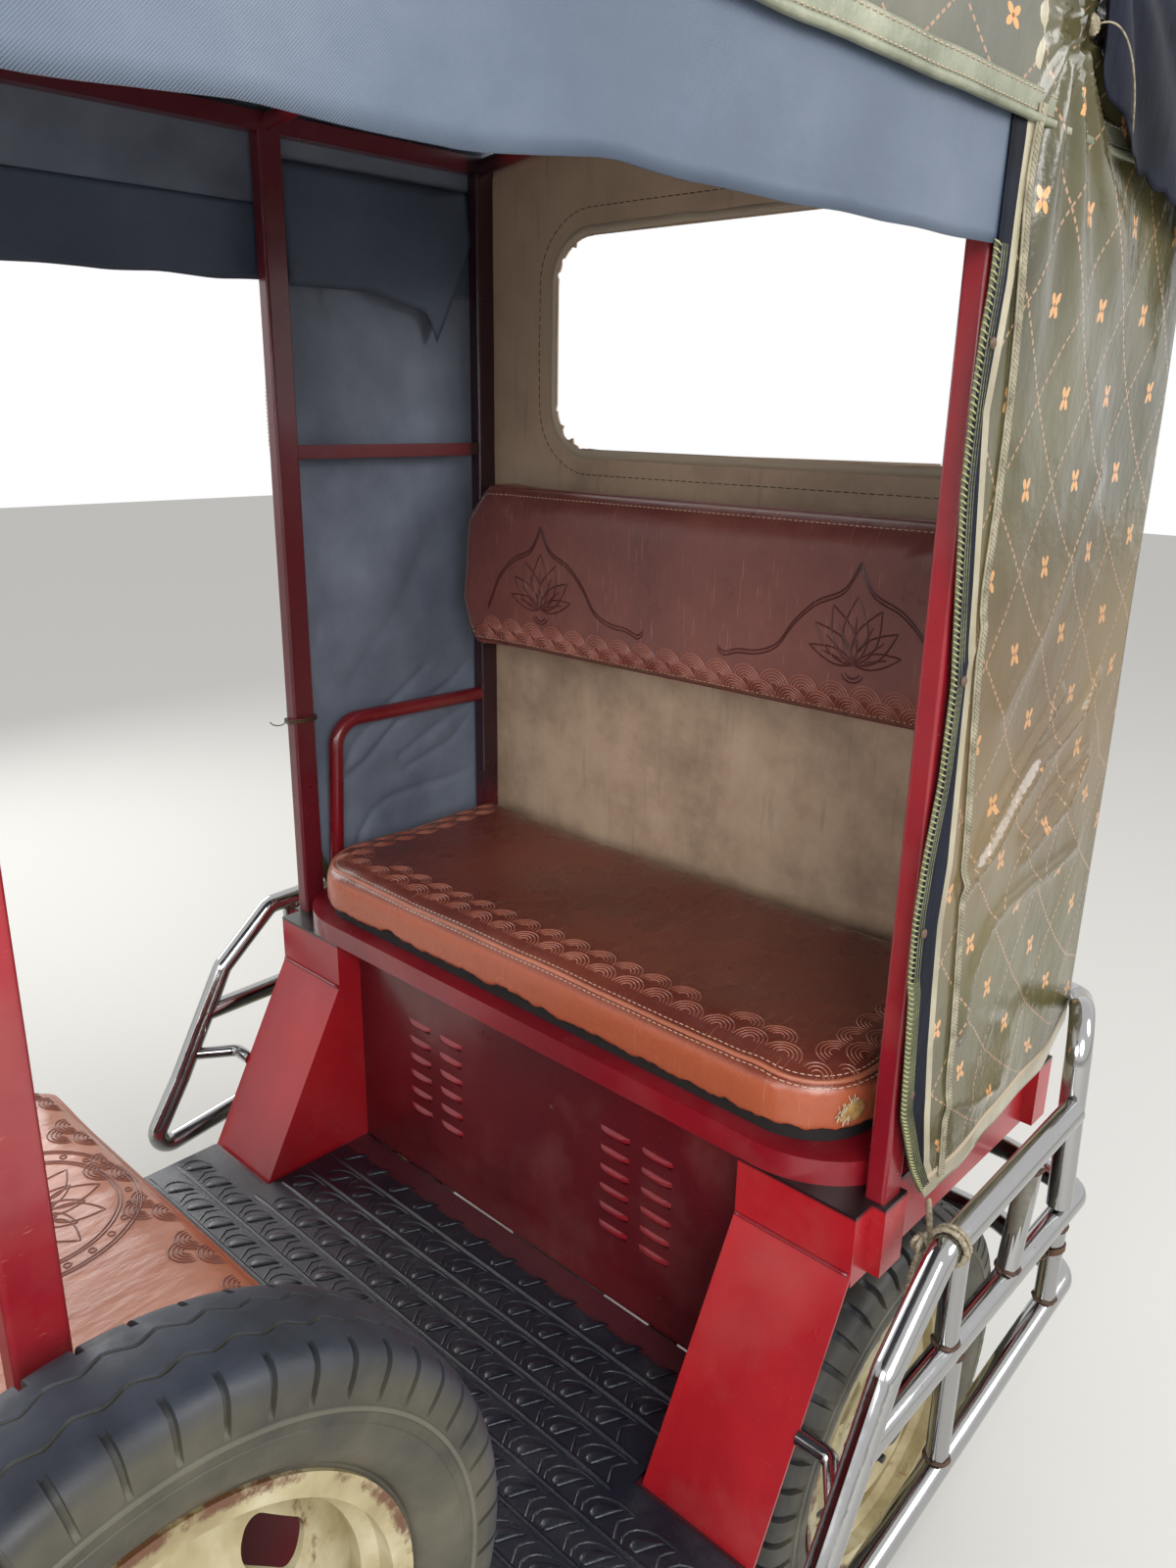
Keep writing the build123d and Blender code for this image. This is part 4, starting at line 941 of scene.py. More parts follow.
def cloth_sheet(name, rows, mats, thickness, slot, flat, kept=None, flip=False, held="hung", **more):
    """A cloth sheet from rows of points, with its own measured coordinates, and a back face in the next material."""
    form = bmesh.new()
    layer = form.loops.layers.uv.new("cut")
    grid = [[form.verts.new(p) for p in row] for row in rows]
    down = [0.0]
    for a, b in zip(rows, rows[1:]):
        down.append(down[-1] + (b[len(b) // 2] - a[len(a) // 2]).length)
    for i in range(len(rows) - 1):
        across = [0.0]
        for a, b in zip(rows[i], rows[i][1:]):
            across.append(across[-1] + (b - a).length)
        for j in range(len(rows[i]) - 1):
            if kept and not kept(i, j):
                continue
            corners = ((i, j), (i, j + 1), (i + 1, j + 1), (i + 1, j))
            if flip:
                corners = corners[::-1]
            face = form.faces.new([grid[a][b] for a, b in corners])
            for loop, (a, b) in zip(face.loops, corners):
                loop[layer].uv = (across[b], down[a])
    for vertex in [v for v in form.verts if not v.link_faces]:
        form.verts.remove(vertex)
    piece = as_object(form, name, *mats)
    take(piece)
    wall = piece.modifiers.new("thickness", "SOLIDIFY")
    wall.thickness = thickness
    wall.offset = -1.0
    wall.material_offset = 1 if len(mats) > 1 else 0
    wall.material_offset_rim = 0
    bpy.ops.object.modifier_apply(modifier="thickness")
    fasten(piece)
    return piece


COLUMNS, LEVELS = 110, 124
outline = rounded_window(0.0)
rows = []
for i in range(LEVELS + 1):
    row = []
    for j in range(COLUMNS + 1):
        y = -LINING_HALF + 2 * LINING_HALF * j / COLUMNS
        slope = max(0.0, abs(y) - LINING_FLAT) / (LINING_HALF - LINING_FLAT)
        top = LINING_CROWN - (LINING_CROWN - LINING_HIGH) * slope
        z = LINING_LOW + (top - LINING_LOW) * i / LEVELS
        if in_window(y, z, 0.0045) != in_window(y, z, -0.0045):
            y, z = min(outline, key=lambda p: (p[0] - y) ** 2 + (p[1] - z) ** 2)
        swell = 0.003 + ripple(y * 4, z * 4, 5.0, 0.004) + ripple(y * 13, z * 13, 2.0, 0.0018)
        edge = min(1.0, min(abs(abs(y) - LINING_HALF), abs(z - LINING_LOW), abs(top - z)) / 0.03)
        row.append(Vector((-1.2016 + max(0.0, swell) * edge, y, z)))
    rows.append(row)


def outside_window(i, j):
    """Whether a cell of the lining is cloth."""
    middle = (rows[i][j] + rows[i + 1][j + 1] + rows[i][j + 1] + rows[i + 1][j]) / 4
    return not in_window(middle.y, middle.z, 0.0)


lining = cloth_sheet(
    "rear_lining", rows, (lining_vinyl, slate_cloth), 0.003, "lining_vinyl", kept=outside_window,
    flat=(2 * LINING_HALF, LINING_CROWN - LINING_LOW), held="stretched", area=0.94,
)
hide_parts("rear_panel")
trim_vinyl = grained("window_trim", tint(176, 160, 138), 0.5, (120.0, 4.0, 0.4, 0.001))
dark_thread = grained("dark_thread", tint(70, 60, 54), 0.8, (900.0, 4.0, 0.4, 0.0005))
trim, seam = (
    evenly([Vector((-1.19, y, z)) for y, z in rounded_window(offset)], step)
    for offset, step in ((0.008, 0.008), (0.036, 0.003))
)
moulded_lines("window_trim", lining, [trim], TO_REAR, 0.013, 0.0035, trim_vinyl)
moulded_lines("window_seam", lining, dashes(seam, 3), TO_REAR, 0.0016, 0.0009, dark_thread)

# Canopy: one vinyl cover drawn over the bows, slack between them, patterned outside and slate inside. Its sides end
# in a pale piped hem, and a slate cloth valance hangs from the hem all round.
BOWS = (-1.185, -0.825, -0.460, -0.095, 0.320, 0.693)
ROOF_BACK, ROOF_FRONT, HEM_Z = -1.2085, 0.7615, 1.553
ROOF_LONG = ROOF_FRONT - ROOF_BACK
# The print: width and height of a diamond, its petals' distance from the middle and its line's half width.
DIAMOND, PETAL_OUT, LATTICE_HALF = (0.104, 0.142), 0.068, 0.013


def printed_vinyl(name, deep, bright, rough, coat, middle=None):
    """Olive-gold vinyl with a fine diamond lattice and a small four-petalled flower in each diamond. The middle
    colour tints its middle height, where the sun comes through."""
    mat = new_material(name, bright, 0.3, coat_weight=coat, coat_roughness=0.14)
    axes = node(mat, "ShaderNodeSeparateXYZ", {"Vector": position(mat, source="UV")})
    across, down = (calc(mat, "DIVIDE", axes.outputs[axis], pitch) for axis, pitch in zip("XY", DIAMOND))
    one, two = calc(mat, "ADD", across, down), calc(mat, "SUBTRACT", across, down)
    lattice, offsets = [], []
    for line, other in ((one, two), (two, one)):
        place = calc(mat, "SUBTRACT", calc(mat, "FRACT", line), 0.5)
        near_line = calc(mat, "LESS_THAN", calc(mat, "SUBTRACT", 0.5, calc(mat, "ABSOLUTE", place)), LATTICE_HALF)
        dash = calc(mat, "LESS_THAN", calc(mat, "FRACT", calc(mat, "MULTIPLY", other, 11.0)), 0.62)
        lattice.append(calc(mat, "MULTIPLY", near_line, dash))
        offsets.append(place)

    def oval(u, v, flatter):
        """The squared distance from the flower's middle, larger across a petal."""
        squares = calc(mat, "MULTIPLY", u, u), calc(mat, "MULTIPLY", calc(mat, "MULTIPLY", v, v), flatter)
        return calc(mat, "ADD", *squares)

    flower = 0.0
    for x, y in ((PETAL_OUT, 0.0), (-PETAL_OUT, 0.0), (0.0, PETAL_OUT), (0.0, -PETAL_OUT)):
        u, v = (calc(mat, "SUBTRACT", offset, at) for offset, at in zip(offsets, (x, y)))
        reach = oval(u, v, 2.6) if x else oval(v, u, 2.6)
        flower = calc(mat, "MAXIMUM", flower, calc(mat, "LESS_THAN", reach, 0.0032))
    eye = calc(mat, "LESS_THAN", calc(mat, "SQRT", oval(*offsets, 1.0)), 0.022)
    color = patches(mat, 3.5, 6.0, (0.3, deep), (0.7, bright), rough=0.55)
    for mask, share, printed in (
        (calc(mat, "MAXIMUM", *lattice), 0.75, tint(178, 140, 112)), (flower, 0.85, tint(216, 158, 100)),
        (eye, 0.8, tint(124, 66, 44)),
    ):
        color = blend_color(mat, calc(mat, "MULTIPLY", mask, share), color, printed)
    if middle:
        band = edge_at(mat, "Z", -0.60, (0.22, 0.0), (0.38, 0.75), (0.55, 0.6), (0.68, 0.0))
        color = blend_color(mat, band, color, blend_color(mat, 0.5, color, middle))
    feed(mat, "Base Color", color)
    feed(mat, "Roughness", patches(mat, 7.0, 6.0, (0.3, rough[0]), (0.75, rough[1])))
    swell = speckle(mat, 9.0, 4.0, 0.5, position(mat, (2.0, 2.0, 1.2)))
    bump(mat, calc(mat, "ADD", swell, calc(mat, "MULTIPLY", speckle(mat, 240.0, 2.0), 0.03)), 0.6, 0.008)
    return mat


cover_vinyl = printed_vinyl("cover_vinyl", tint(82, 82, 74), tint(118, 116, 100), (0.50, 0.68), 0.04)
# Half of the cover's section from its hem to its crown, in Y and Z.
COVER_HALF = (
    (0.5065, HEM_Z), (0.5065, 1.640), (0.5045, 1.678), (0.4970, 1.694), (0.480, 1.7015), (0.250, 1.7225), (0.0, 1.7240),
)
COVER_SECTION = COVER_HALF + tuple((-y, z) for y, z in COVER_HALF[-2::-1])
COVER_LENGTHS = [0.0]
for a, b in zip(COVER_SECTION, COVER_SECTION[1:]):
    COVER_LENGTHS.append(COVER_LENGTHS[-1] + math.dist(a, b))


def slack(x):
    """How far the cover hangs between two bows, 0 over a bow and 1 half way."""
    for a, b in zip(BOWS, BOWS[1:]):
        if a <= x <= b:
            t = (x - a) / (b - a)
            return 4 * t * (1 - t)
    return 0.0


def over_roof(x, s):
    """The cover's point at a place along the vehicle and a share s of the way across."""
    want = s * COVER_LENGTHS[-1]
    k = 0
    while k < len(COVER_SECTION) - 2 and COVER_LENGTHS[k + 1] < want:
        k += 1
    t = (want - COVER_LENGTHS[k]) / (COVER_LENGTHS[k + 1] - COVER_LENGTHS[k])
    (y0, z0), (y1, z1) = COVER_SECTION[k:k + 2]
    y, z = y0 + (y1 - y0) * t, z0 + (z1 - z0) * t
    inner = min(1.0, max(0.0, (0.47 - abs(y)) / 0.12))
    z -= 0.012 * slack(x) * inner
    z += ripple(x * 6, y * 6, 4.0, 0.0022) * inner
    push = ripple(x * 8, z * 5, 8.0 if y > 0 else 9.0, 0.003) * (1 - inner)
    return Vector((x, y + (push if y > 0 else -push), z))


rows = [[over_roof(ROOF_BACK + ROOF_LONG * i / 104, j / 84) for j in range(85)] for i in range(105)]
cover = cloth_sheet(
    "canopy_cover", rows, (cover_vinyl, slate_cloth), 0.0022, "canopy_vinyl", flat=(ROOF_LONG, 1.30), held="stretched",
)
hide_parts("canopy_roof")

# Valances: strips of slate cloth sewn inside the hem along each side and across the front. They hang free, their
# lower edge wavy.
VALANCE_EDGE = (
    (-1.205, 1.466), (-0.820, 1.464), (-0.582, 1.460), (-0.439, 1.457), (-0.378, 1.459), (-0.290, 1.449),
    (-0.179, 1.449), (-0.091, 1.444), (0.200, 1.458), (0.480, 1.450), (0.760, 1.460),
)
VALANCE_TOP, VALANCE_LONG = 1.585, ROOF_LONG - 0.008


def level_at(table, x):
    """The height that a table of (place, height) gives at a place."""
    for (x0, z0), (x1, z1) in zip(table, table[1:]):
        if x <= x1:
            return z0 + (z1 - z0) * (x - x0) / (x1 - x0)
    return table[-1][1]


valance_cloth = new_material("valance_cloth", tint(84, 94, 112), 0.5)
faded = patches(
    valance_cloth, 2.2, 8.0, (0.3, tint(58, 68, 86)), (0.55, tint(80, 92, 110)), (0.75, tint(106, 116, 132)),
)
feed(valance_cloth, "Base Color", faded)
creases = speckle(valance_cloth, 6.0, 4.0, 0.5, position(valance_cloth, (1.0, 1.0, 2.4)))
woven(valance_cloth, 300.0, 0.03, creases, 0.5, 0.008)
for side, word, lifted, deep in ((1, "left", 0.0, 0.135), (-1, "right", 0.030, 0.105)):
    rows = []
    for i in range(161):
        x = ROOF_BACK + 0.004 + VALANCE_LONG * i / 160
        low = level_at(VALANCE_EDGE, x) + lifted + ripple(x * 14, side, 0.0, 0.0025)
        row = []
        for t in (j / 14 for j in range(15)):
            z = VALANCE_TOP + (low - VALANCE_TOP) * t
            wave = ripple(x * 5, side * 3, z * 4, 0.006) + ripple(x * 17, side * 5, z * 7, 0.0025)
            row.append(Vector((x, side * (0.5025 + max(-0.0015, wave) * t ** 0.7), z)))
        rows.append(row)
    cloth_sheet(
        f"valance_{word}", rows, (valance_cloth,), 0.0012, "canopy_vinyl", flat=(VALANCE_LONG, deep), flip=side < 0,
    )


def front_top(y, high, drop):
    """The canopy's front edge, which falls towards its corners."""
    return high - drop * max(0.0, (abs(y) - 0.40) / 0.10)


rows = []
for y in (-0.500 + i / 60 for i in range(61)):
    high, low = front_top(y, 1.699, 0.012), 1.600 + ripple(y * 9, 0.0, 6.0, 0.004)
    row = []
    for t in (j / 11 for j in range(12)):
        row.append(Vector((0.7625 + ripple(y * 6, t, 2.0, 0.003) * t, y, high + (low - high) * t)))
    rows.append(row)
cloth_sheet("valance_front", rows, (valance_cloth,), 0.0012, "canopy_vinyl", flat=(1.0, 0.10))
STRAP_SECTION = (
    (-0.5, -0.2), (-0.5, 0.2), (-0.36, 0.5), (0.36, 0.5), (0.5, 0.2), (0.5, -0.2), (0.36, -0.5), (-0.36, -0.5),
)


def strap(name, points, faces_to, width, thick, mat):
    """A flat strip with rounded edges along a line; faces_to is the direction that its face looks."""
    form = bmesh.new()
    rings = []
    for i, place in enumerate(points):
        along = along_at(points, i)
        across = along.cross(Vector(faces_to)).normalized()
        outward = across.cross(along).normalized()
        rings.append([form.verts.new(place + across * a * width + outward * b * thick) for a, b in STRAP_SECTION])
    skin(form, rings)
    close_ends(form, rings)
    return finish_piece(form, name, mat)


# Hem and piping: a pale olive vinyl strip over the joint of cover and valance, with a round piping under it. Two
# rows of stitches hold it along each side.
hem_vinyl = grained(
    "hem_strip", tint(136, 138, 118), 0.42, (110.0, 4.0, 0.5, 0.002),
    (16.0, 6.0, (0.3, tint(104, 108, 88)), (0.7, tint(152, 154, 132))),
)
for side, word in ((-1, "right"), (1, "left")):
    edge = []
    for i in range(91):
        z = HEM_Z + 0.0085 + ripple(i * 0.3, side, 0, 0.002)
        edge.append(Vector((ROOF_BACK + ROOF_LONG * i / 90, side * 0.5095, z)))
    strap(f"roof_hem_{word}", edge, (0, side, 0), 0.018, 0.0022, hem_vinyl)
    bead = [place + Vector((0, side * 0.0008, -0.0112)) for place in edge]
    strap(f"roof_piping_{word}", bead, (0, side, 0), 0.006, 0.006, hem_vinyl)
    for level, lift, pitch in (("upper", 0.0062, 0.0075), ("lower", -0.0062, 0.0060)):
        row = evenly([place + Vector((0, side * 0.0013, lift)) for place in edge], pitch / 2)
        stitches = [(pair, 0.0007) for pair in dashes(row, 1)]
        round_strands(f"hem_stitches_{word}_{level}", stitches, trim_vinyl, sides=5)
edge = [Vector((0.7670, y, front_top(y, 1.6955, 0.010))) for y in (-0.498 + 0.996 * i / 50 for i in range(51))]
strap("roof_hem_front", edge, (1, 0, 0), 0.022, 0.0022, hem_vinyl)

# Loose flap: a spare piece of slate cloth, held under the roof inside the far side. It hangs free, its tip torn to
# a point.
FLAP_TOP, FLAP_FRONT, FLAP_LONG = 1.640, -0.851, 0.318
FLAP_EDGE = ((-1.169, 1.571), (-1.100, 1.430), (-1.085, 1.470), (-0.980, 1.492), (-0.851, 1.490))
rows = []
for i in range(33):
    x = FLAP_FRONT - FLAP_LONG * i / 32
    low = level_at(FLAP_EDGE, x)
    row = []
    for t in (j / 12 for j in range(13)):
        z = FLAP_TOP + (low - FLAP_TOP) * t
        row.append(Vector((x, -0.4970 + 0.016 * t * (0.4 + 0.6 * ripple(x * 12, 3.0, z * 9) ** 2), z)))
    rows.append(row)
cloth_sheet("roof_flap", rows, (valance_cloth,), 0.0012, "canopy_vinyl", flat=(FLAP_LONG, 0.16), area=0.047)

# Side curtains: glossy printed vinyl outside, slate inside, screwed to the front post by an olive binding and tied
# back at the rear. A pale strip with a whipped seam runs down the front edge and a hem band along the bottom.
CURTAIN_TOP, CURTAIN_REAR = 1.640, -1.203
CURTAIN_FRONT = (
    (0.586, -0.880), (0.644, -0.840), (0.718, -0.808), (0.788, -0.802), (0.856, -0.796), (0.919, -0.793),
    (0.976, -0.799), (1.043, -0.812), (1.128, -0.815), (1.211, -0.803), (1.288, -0.793), (1.359, -0.793),
    (1.401, -0.797), (1.440, -0.803), (1.640, -0.806),
)
GAP_LINE = (
    (0.586, -0.894), (0.633, -0.866), (0.696, -0.852), (0.770, -0.842), (0.839, -0.836), (0.905, -0.832),
    (0.963, -0.838), (1.125, -0.834), (1.208, -0.826), (1.287, -0.815), (1.346, -0.808), (1.440, -0.822),
    (1.640, -0.826),
)
BRAID_LINE = (
    (0.586, -0.906), (0.679, -0.890), (0.753, -0.885), (0.823, -0.880), (0.892, -0.874), (0.986, -0.866),
    (1.123, -0.853), (1.207, -0.846), (1.270, -0.849), (1.324, -0.848), (1.382, -0.844), (1.498, -0.838),
    (1.640, -0.842),
)
CURTAIN_FOOT = ((-1.203, 0.662), (-1.146, 0.621), (-0.870, 0.586), (-0.812, 0.586))
HEM_BAND, FOLDED_EDGE, PAINTED_SHADOW_GAP = 0.026, 0.010, (0.61, 1.56)
BRAID_TOP, BRAID_FOOT, BINDING_TOP, BINDING_BEND = 1.560, 0.606, 1.468, 0.86
SCREW_HEIGHTS, SCREW_RADIUS = (1.395, 1.130, 0.905, 0.735), 0.0048
# Each crease: how far it stands out, its half width, and its line.
PULL_CREASES = (
    (0.0085, 0.0055, (
        (-0.874, 0.937), (-0.902, 0.984), (-0.932, 1.008), (-0.976, 1.040), (-1.010, 1.061), (-1.044, 1.085),
    )),
    (0.0095, 0.0060, (
        (-0.879, 0.932), (-0.921, 0.952), (-0.965, 0.988), (-1.012, 1.021), (-1.056, 1.035), (-1.100, 1.055),
        (-1.137, 1.088),
    )),
    (-0.0050, 0.0110, ((-0.883, 0.948), (-0.933, 0.976), (-0.971, 1.008), (-0.998, 1.037))),
    (0.0080, 0.0060, ((-1.000, 0.925), (-1.034, 0.934), (-1.096, 0.954), (-1.142, 0.996))),
    (0.0080, 0.0060, ((-0.990, 0.948), (-1.025, 0.965), (-1.084, 0.992), (-1.136, 1.011))),
    (-0.0045, 0.0100, ((-1.061, 0.967), (-1.110, 0.986), (-1.132, 1.004))),
    (0.0080, 0.0075, (
        (-0.898, 0.770), (-0.901, 0.816), (-0.904, 0.835), (-0.932, 0.870), (-0.968, 0.883), (-1.024, 0.888),
        (-1.087, 0.889), (-1.144, 0.899),
    )),
    (0.0060, 0.0060, ((-0.824, 1.136), (-0.844, 1.158), (-0.847, 1.174))),
    (0.0045, 0.0160, ((-0.905, 1.090), (-0.985, 1.170), (-1.060, 1.290))),
    (0.0045, 0.0120, ((-0.880, 0.700), (-0.950, 0.668), (-1.020, 0.655))),
)
# The cord knot at the roof's edge that the curtain is gathered to.
KNOT_AT = Vector((-0.878, 0.5200, 1.616))


def pull(x, z):
    """The rise of the creases that run from the curtain's tied front edge up towards the rear."""
    rise = 0.0
    for high, wide, line in PULL_CREASES:
        beside = any(
            not min(p[axis] for p in line) - 5 * wide < at < max(p[axis] for p in line) + 5 * wide
            for axis, at in enumerate((x, z))
        )
        if beside:
            continue
        away = 1.0
        for (x0, z0), (x1, z1) in zip(line, line[1:]):
            t = ((x - x0) * (x1 - x0) + (z - z0) * (z1 - z0)) / ((x1 - x0) ** 2 + (z1 - z0) ** 2)
            t = min(1.0, max(0.0, t))
            away = min(away, math.hypot(x - x0 - (x1 - x0) * t, z - z0 - (z1 - z0) * t))
        rise += 0.9 * high * math.exp(-((away / wide) ** 1.25))
    return rise


# Columns of the curtain's mesh that follow the painted shadow gap, the pale folded edge and the braid.
AT_GAP, AT_EDGE, AT_BRAID, COLUMNS_ACROSS, ROWS_DOWN = 2, 4, 10, 92, 200
# The far curtain's front edge is fixed further back, behind its post.
SET_BACK = {1: 0.0, -1: 0.024}


def across_at(line, side, z):
    """The place of one of the curtain's long lines, at a height."""
    return level_at(line, z) - SET_BACK[side]


def curtain_x(side, z, j):
    """The place across the curtain of a column, at a height."""
    front, gap, braid = (across_at(line, side, z) for line in (CURTAIN_FRONT, GAP_LINE, BRAID_LINE))
    edge = gap - min(FOLDED_EDGE, 0.6 * (gap - braid))
    stops = ((0, front), (AT_GAP, gap), (AT_EDGE, edge), (AT_BRAID, braid), (COLUMNS_ACROSS, CURTAIN_REAR))
    return level_at(stops, j)


def curtain_point(side, x, z):
    """A point of the hanging curtain: broad folds, pull creases on the left one, flatter at its fixed edge."""
    front = across_at(CURTAIN_FRONT, side, z)
    share = (front - x) / (front - CURTAIN_REAR)
    broad = 0.0035 * (1 + ripple(x * 6, side * 2.0, z * 1.6) + ripple(x * 16, side, z * 4, 0.5))
    drawn = pull(x, z) if side > 0 else 0.6 * pull(x + 0.03, z + 0.14)
    broad = max(-0.003, broad + drawn * min(1.0, (1.0 - share) * 4.0))
    fan = math.atan2(x - KNOT_AT.x, KNOT_AT.z - z)
    gather = max(0.0, min(1.0, (z - 1.30) / 0.22)) * math.exp(-((x - KNOT_AT.x) / 0.20) ** 2)
    broad += 0.0045 * gather * (1 + math.sin(fan * 13.0)) * min(1.0, share * 8)
    return Vector((x, side * (0.5062 + broad * min(1.0, share * 5)), z))


curtain_vinyl = printed_vinyl(
    "curtain_vinyl", tint(58, 56, 38), tint(104, 98, 66), (0.12, 0.28), 0.25, tint(146, 114, 86),
)
strip_vinyl = grained(
    "curtain_edge_strip", tint(168, 158, 132), 0.3, (20.0, 4.0, 0.5, 0.004),
    (9.0, 6.0, (0.3, tint(134, 124, 100)), (0.7, tint(190, 182, 156))), stretch=(3.0, 3.0, 1.0), coat_weight=0.4,
)
binding_vinyl = new_material("olive_binding", tint(84, 84, 58), 0.45)
feed(binding_vinyl, "Base Color", patches(binding_vinyl, 30.0, 6.0, (0.3, tint(60, 62, 42)), (0.7, tint(100, 102, 72))))


def ribbed(mat, scale, way):
    """Even ribs across one of the object's own directions."""
    return node(
        mat, "ShaderNodeTexWave", {"Vector": position(mat), "Scale": scale}, bands_direction=way,
    ).outputs["Fac"]


bump(binding_vinyl, ribbed(binding_vinyl, 55.0, "Z"), 0.35, 0.0015)
screw_steel = grained("screw_steel", tint(98, 78, 66), 0.6, (400.0, 4.0, 0.4, 0.0005), metallic=0.3)
whip_thread = grained("whipping_thread", tint(160, 158, 112), 0.6, (900.0, 4.0, 0.5, 0.0006))
braid_cotton = grained(
    "braid_cotton", tint(150, 142, 120), 0.8, (700.0, 4.0, 0.5, 0.0006),
    (60.0, 6.0, (0.3, tint(112, 106, 86)), (0.7, tint(168, 160, 138))),
)
# Black vinyl for the loose drape. On the curtains it also paints the shadow in the gap behind the binding.
black_vinyl_and_painted_shadow = grained(
    "black_vinyl_and_painted_shadow", tint(12, 14, 24), 0.6, (14.0, 4.0, 0.5, 0.005),
    (10.0, 8.0, (0.3, tint(6, 8, 16)), (0.75, tint(22, 26, 42))), stretch=(4.0, 4.0, 1.0), specular=0.15,
)


def shifted(line, *offset):
    """A line moved over."""
    return [place + Vector(offset) for place in line]


for side, word in ((1, "left"), (-1, "right")):
    rows = []
    for t in (i / ROWS_DOWN for i in range(ROWS_DOWN + 1)):
        row = []
        for j in range(COLUMNS_ACROSS + 1):
            z = CURTAIN_TOP + (0.600 - CURTAIN_TOP) * t
            z = CURTAIN_TOP + (level_at(CURTAIN_FOOT, curtain_x(side, z, j)) - CURTAIN_TOP) * t
            row.append(curtain_point(side, curtain_x(side, z, j), z))
        rows.append(row)
    curtain = cloth_sheet(
        f"curtain_{word}", rows, (curtain_vinyl, slate_cloth, strip_vinyl, black_vinyl_and_painted_shadow), 0.0014, "curtain_vinyl",
        flat=(0.395, 1.05), flip=side > 0, area=0.392,
    )
    if side > 0:
        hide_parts("side_curtains")
    # Painted shadow: ahead of the gap line, over the gap's heights, the curtain's faces turn black where the binding
    # shades them. The folded edge and the hem band take the pale strip.
    for face in curtain.data.polygons:
        if face.material_index == 0:
            x, _, z = face.center
            gap = across_at(GAP_LINE, side, z)
            if x > gap and PAINTED_SHADOW_GAP[0] < z < PAINTED_SHADOW_GAP[1]:
                face.material_index = 3
            elif x > gap - FOLDED_EDGE or z < level_at(CURTAIN_FOOT, x) + HEM_BAND:
                face.material_index = 2
    seam_line, binding_line = [], []
    for i in range(241):
        z = BRAID_TOP + (BRAID_FOOT - BRAID_TOP) * i / 240
        x = across_at(BRAID_LINE, side, z)
        seam_line.append(Vector((x, curtain_point(side, x, z).y + side * 0.0014, z)))
        if i % 4 == 0 and z < BINDING_TOP:
            binding_x = across_at(CURTAIN_FRONT, side, z) - 0.006
            binding_line.append(Vector((binding_x, side * (0.5045 if z > BINDING_BEND else 0.5065), z)))
    braid = []
    for k in range(3):
        points = []
        for i, place in enumerate(evenly(seam_line, 0.0018)):
            a = 2 * math.pi * (i / 6.5 + k / 3)
            points.append(place + Vector((0.0027 * math.cos(a), side * 0.0010 * math.sin(a), 0.0)))
        braid.append((points, 0.0016))
    round_strands(f"curtain_braid_{word}", braid, braid_cotton, sides=5)
    inner_seam = shifted(evenly(seam_line, 0.004), 0.0062, side * 0.0002, 0.0)
    round_strands(f"braid_cord_{word}", [(inner_seam, 0.0011)], braid_cotton, sides=6)
    strap(f"curtain_binding_{word}", binding_line, (0, side, 0), 0.018, 0.0034, binding_vinyl)
    flutes = [(shifted(binding_line, x, side * 0.0016, 0.0), 0.0011) for x in (-0.0078, -0.0040, -0.0002)]
    round_strands(f"binding_flutes_{word}", flutes, binding_vinyl, sides=6)
    whip = []
    for edge in shifted(evenly(binding_line, 0.0052), 0.0080, side * 0.0014, 0.0):
        turns = ((0.0012, -0.0016, 0.0016), (0.0002, 0.0010, 0.0), (-0.0044, 0.0010, -0.0018))
        whip.append(([edge + Vector((x, side * y, z)) for x, y, z in turns], 0.0008))
    round_strands(f"binding_whipping_{word}", whip, whip_thread, sides=6)
    hem_line = []
    for x in (-0.868 - 0.330 * i / 59 for i in range(60)):
        hem_line.append(Vector((x, side * 0.52, level_at(CURTAIN_FOOT, x) + HEM_BAND)))
    slant = Vector((0.0022, 0, -0.0042))
    whip = [[place + slant, place, place - slant] for place in evenly(hem_line, 0.0048)]
    moulded_lines(f"curtain_hem_{word}", curtain, whip, (0, -side, 0), 0.0024, 0.0014, trim_vinyl)
    screws = []
    for z in SCREW_HEIGHTS:
        x = across_at(CURTAIN_FRONT, side, z) - 0.013
        bpy.ops.object.select_all(action="DESELECT")
        place = (x, side * 0.5076, z)
        bpy.ops.mesh.primitive_uv_sphere_add(segments=14, ring_count=8, radius=SCREW_RADIUS, location=place)
        bpy.ops.transform.resize(value=(1.0, 0.5, 1.0))
        screws.append(bpy.context.object)
    take(*screws)
    bpy.ops.object.transform_apply(location=True, rotation=True, scale=True)
    bpy.ops.object.join()
    bpy.ops.object.shade_smooth()
    heads = bpy.context.object
    heads.name = f"binding_screws_{word}"
    heads.data.materials.append(screw_steel)
    fasten(heads)

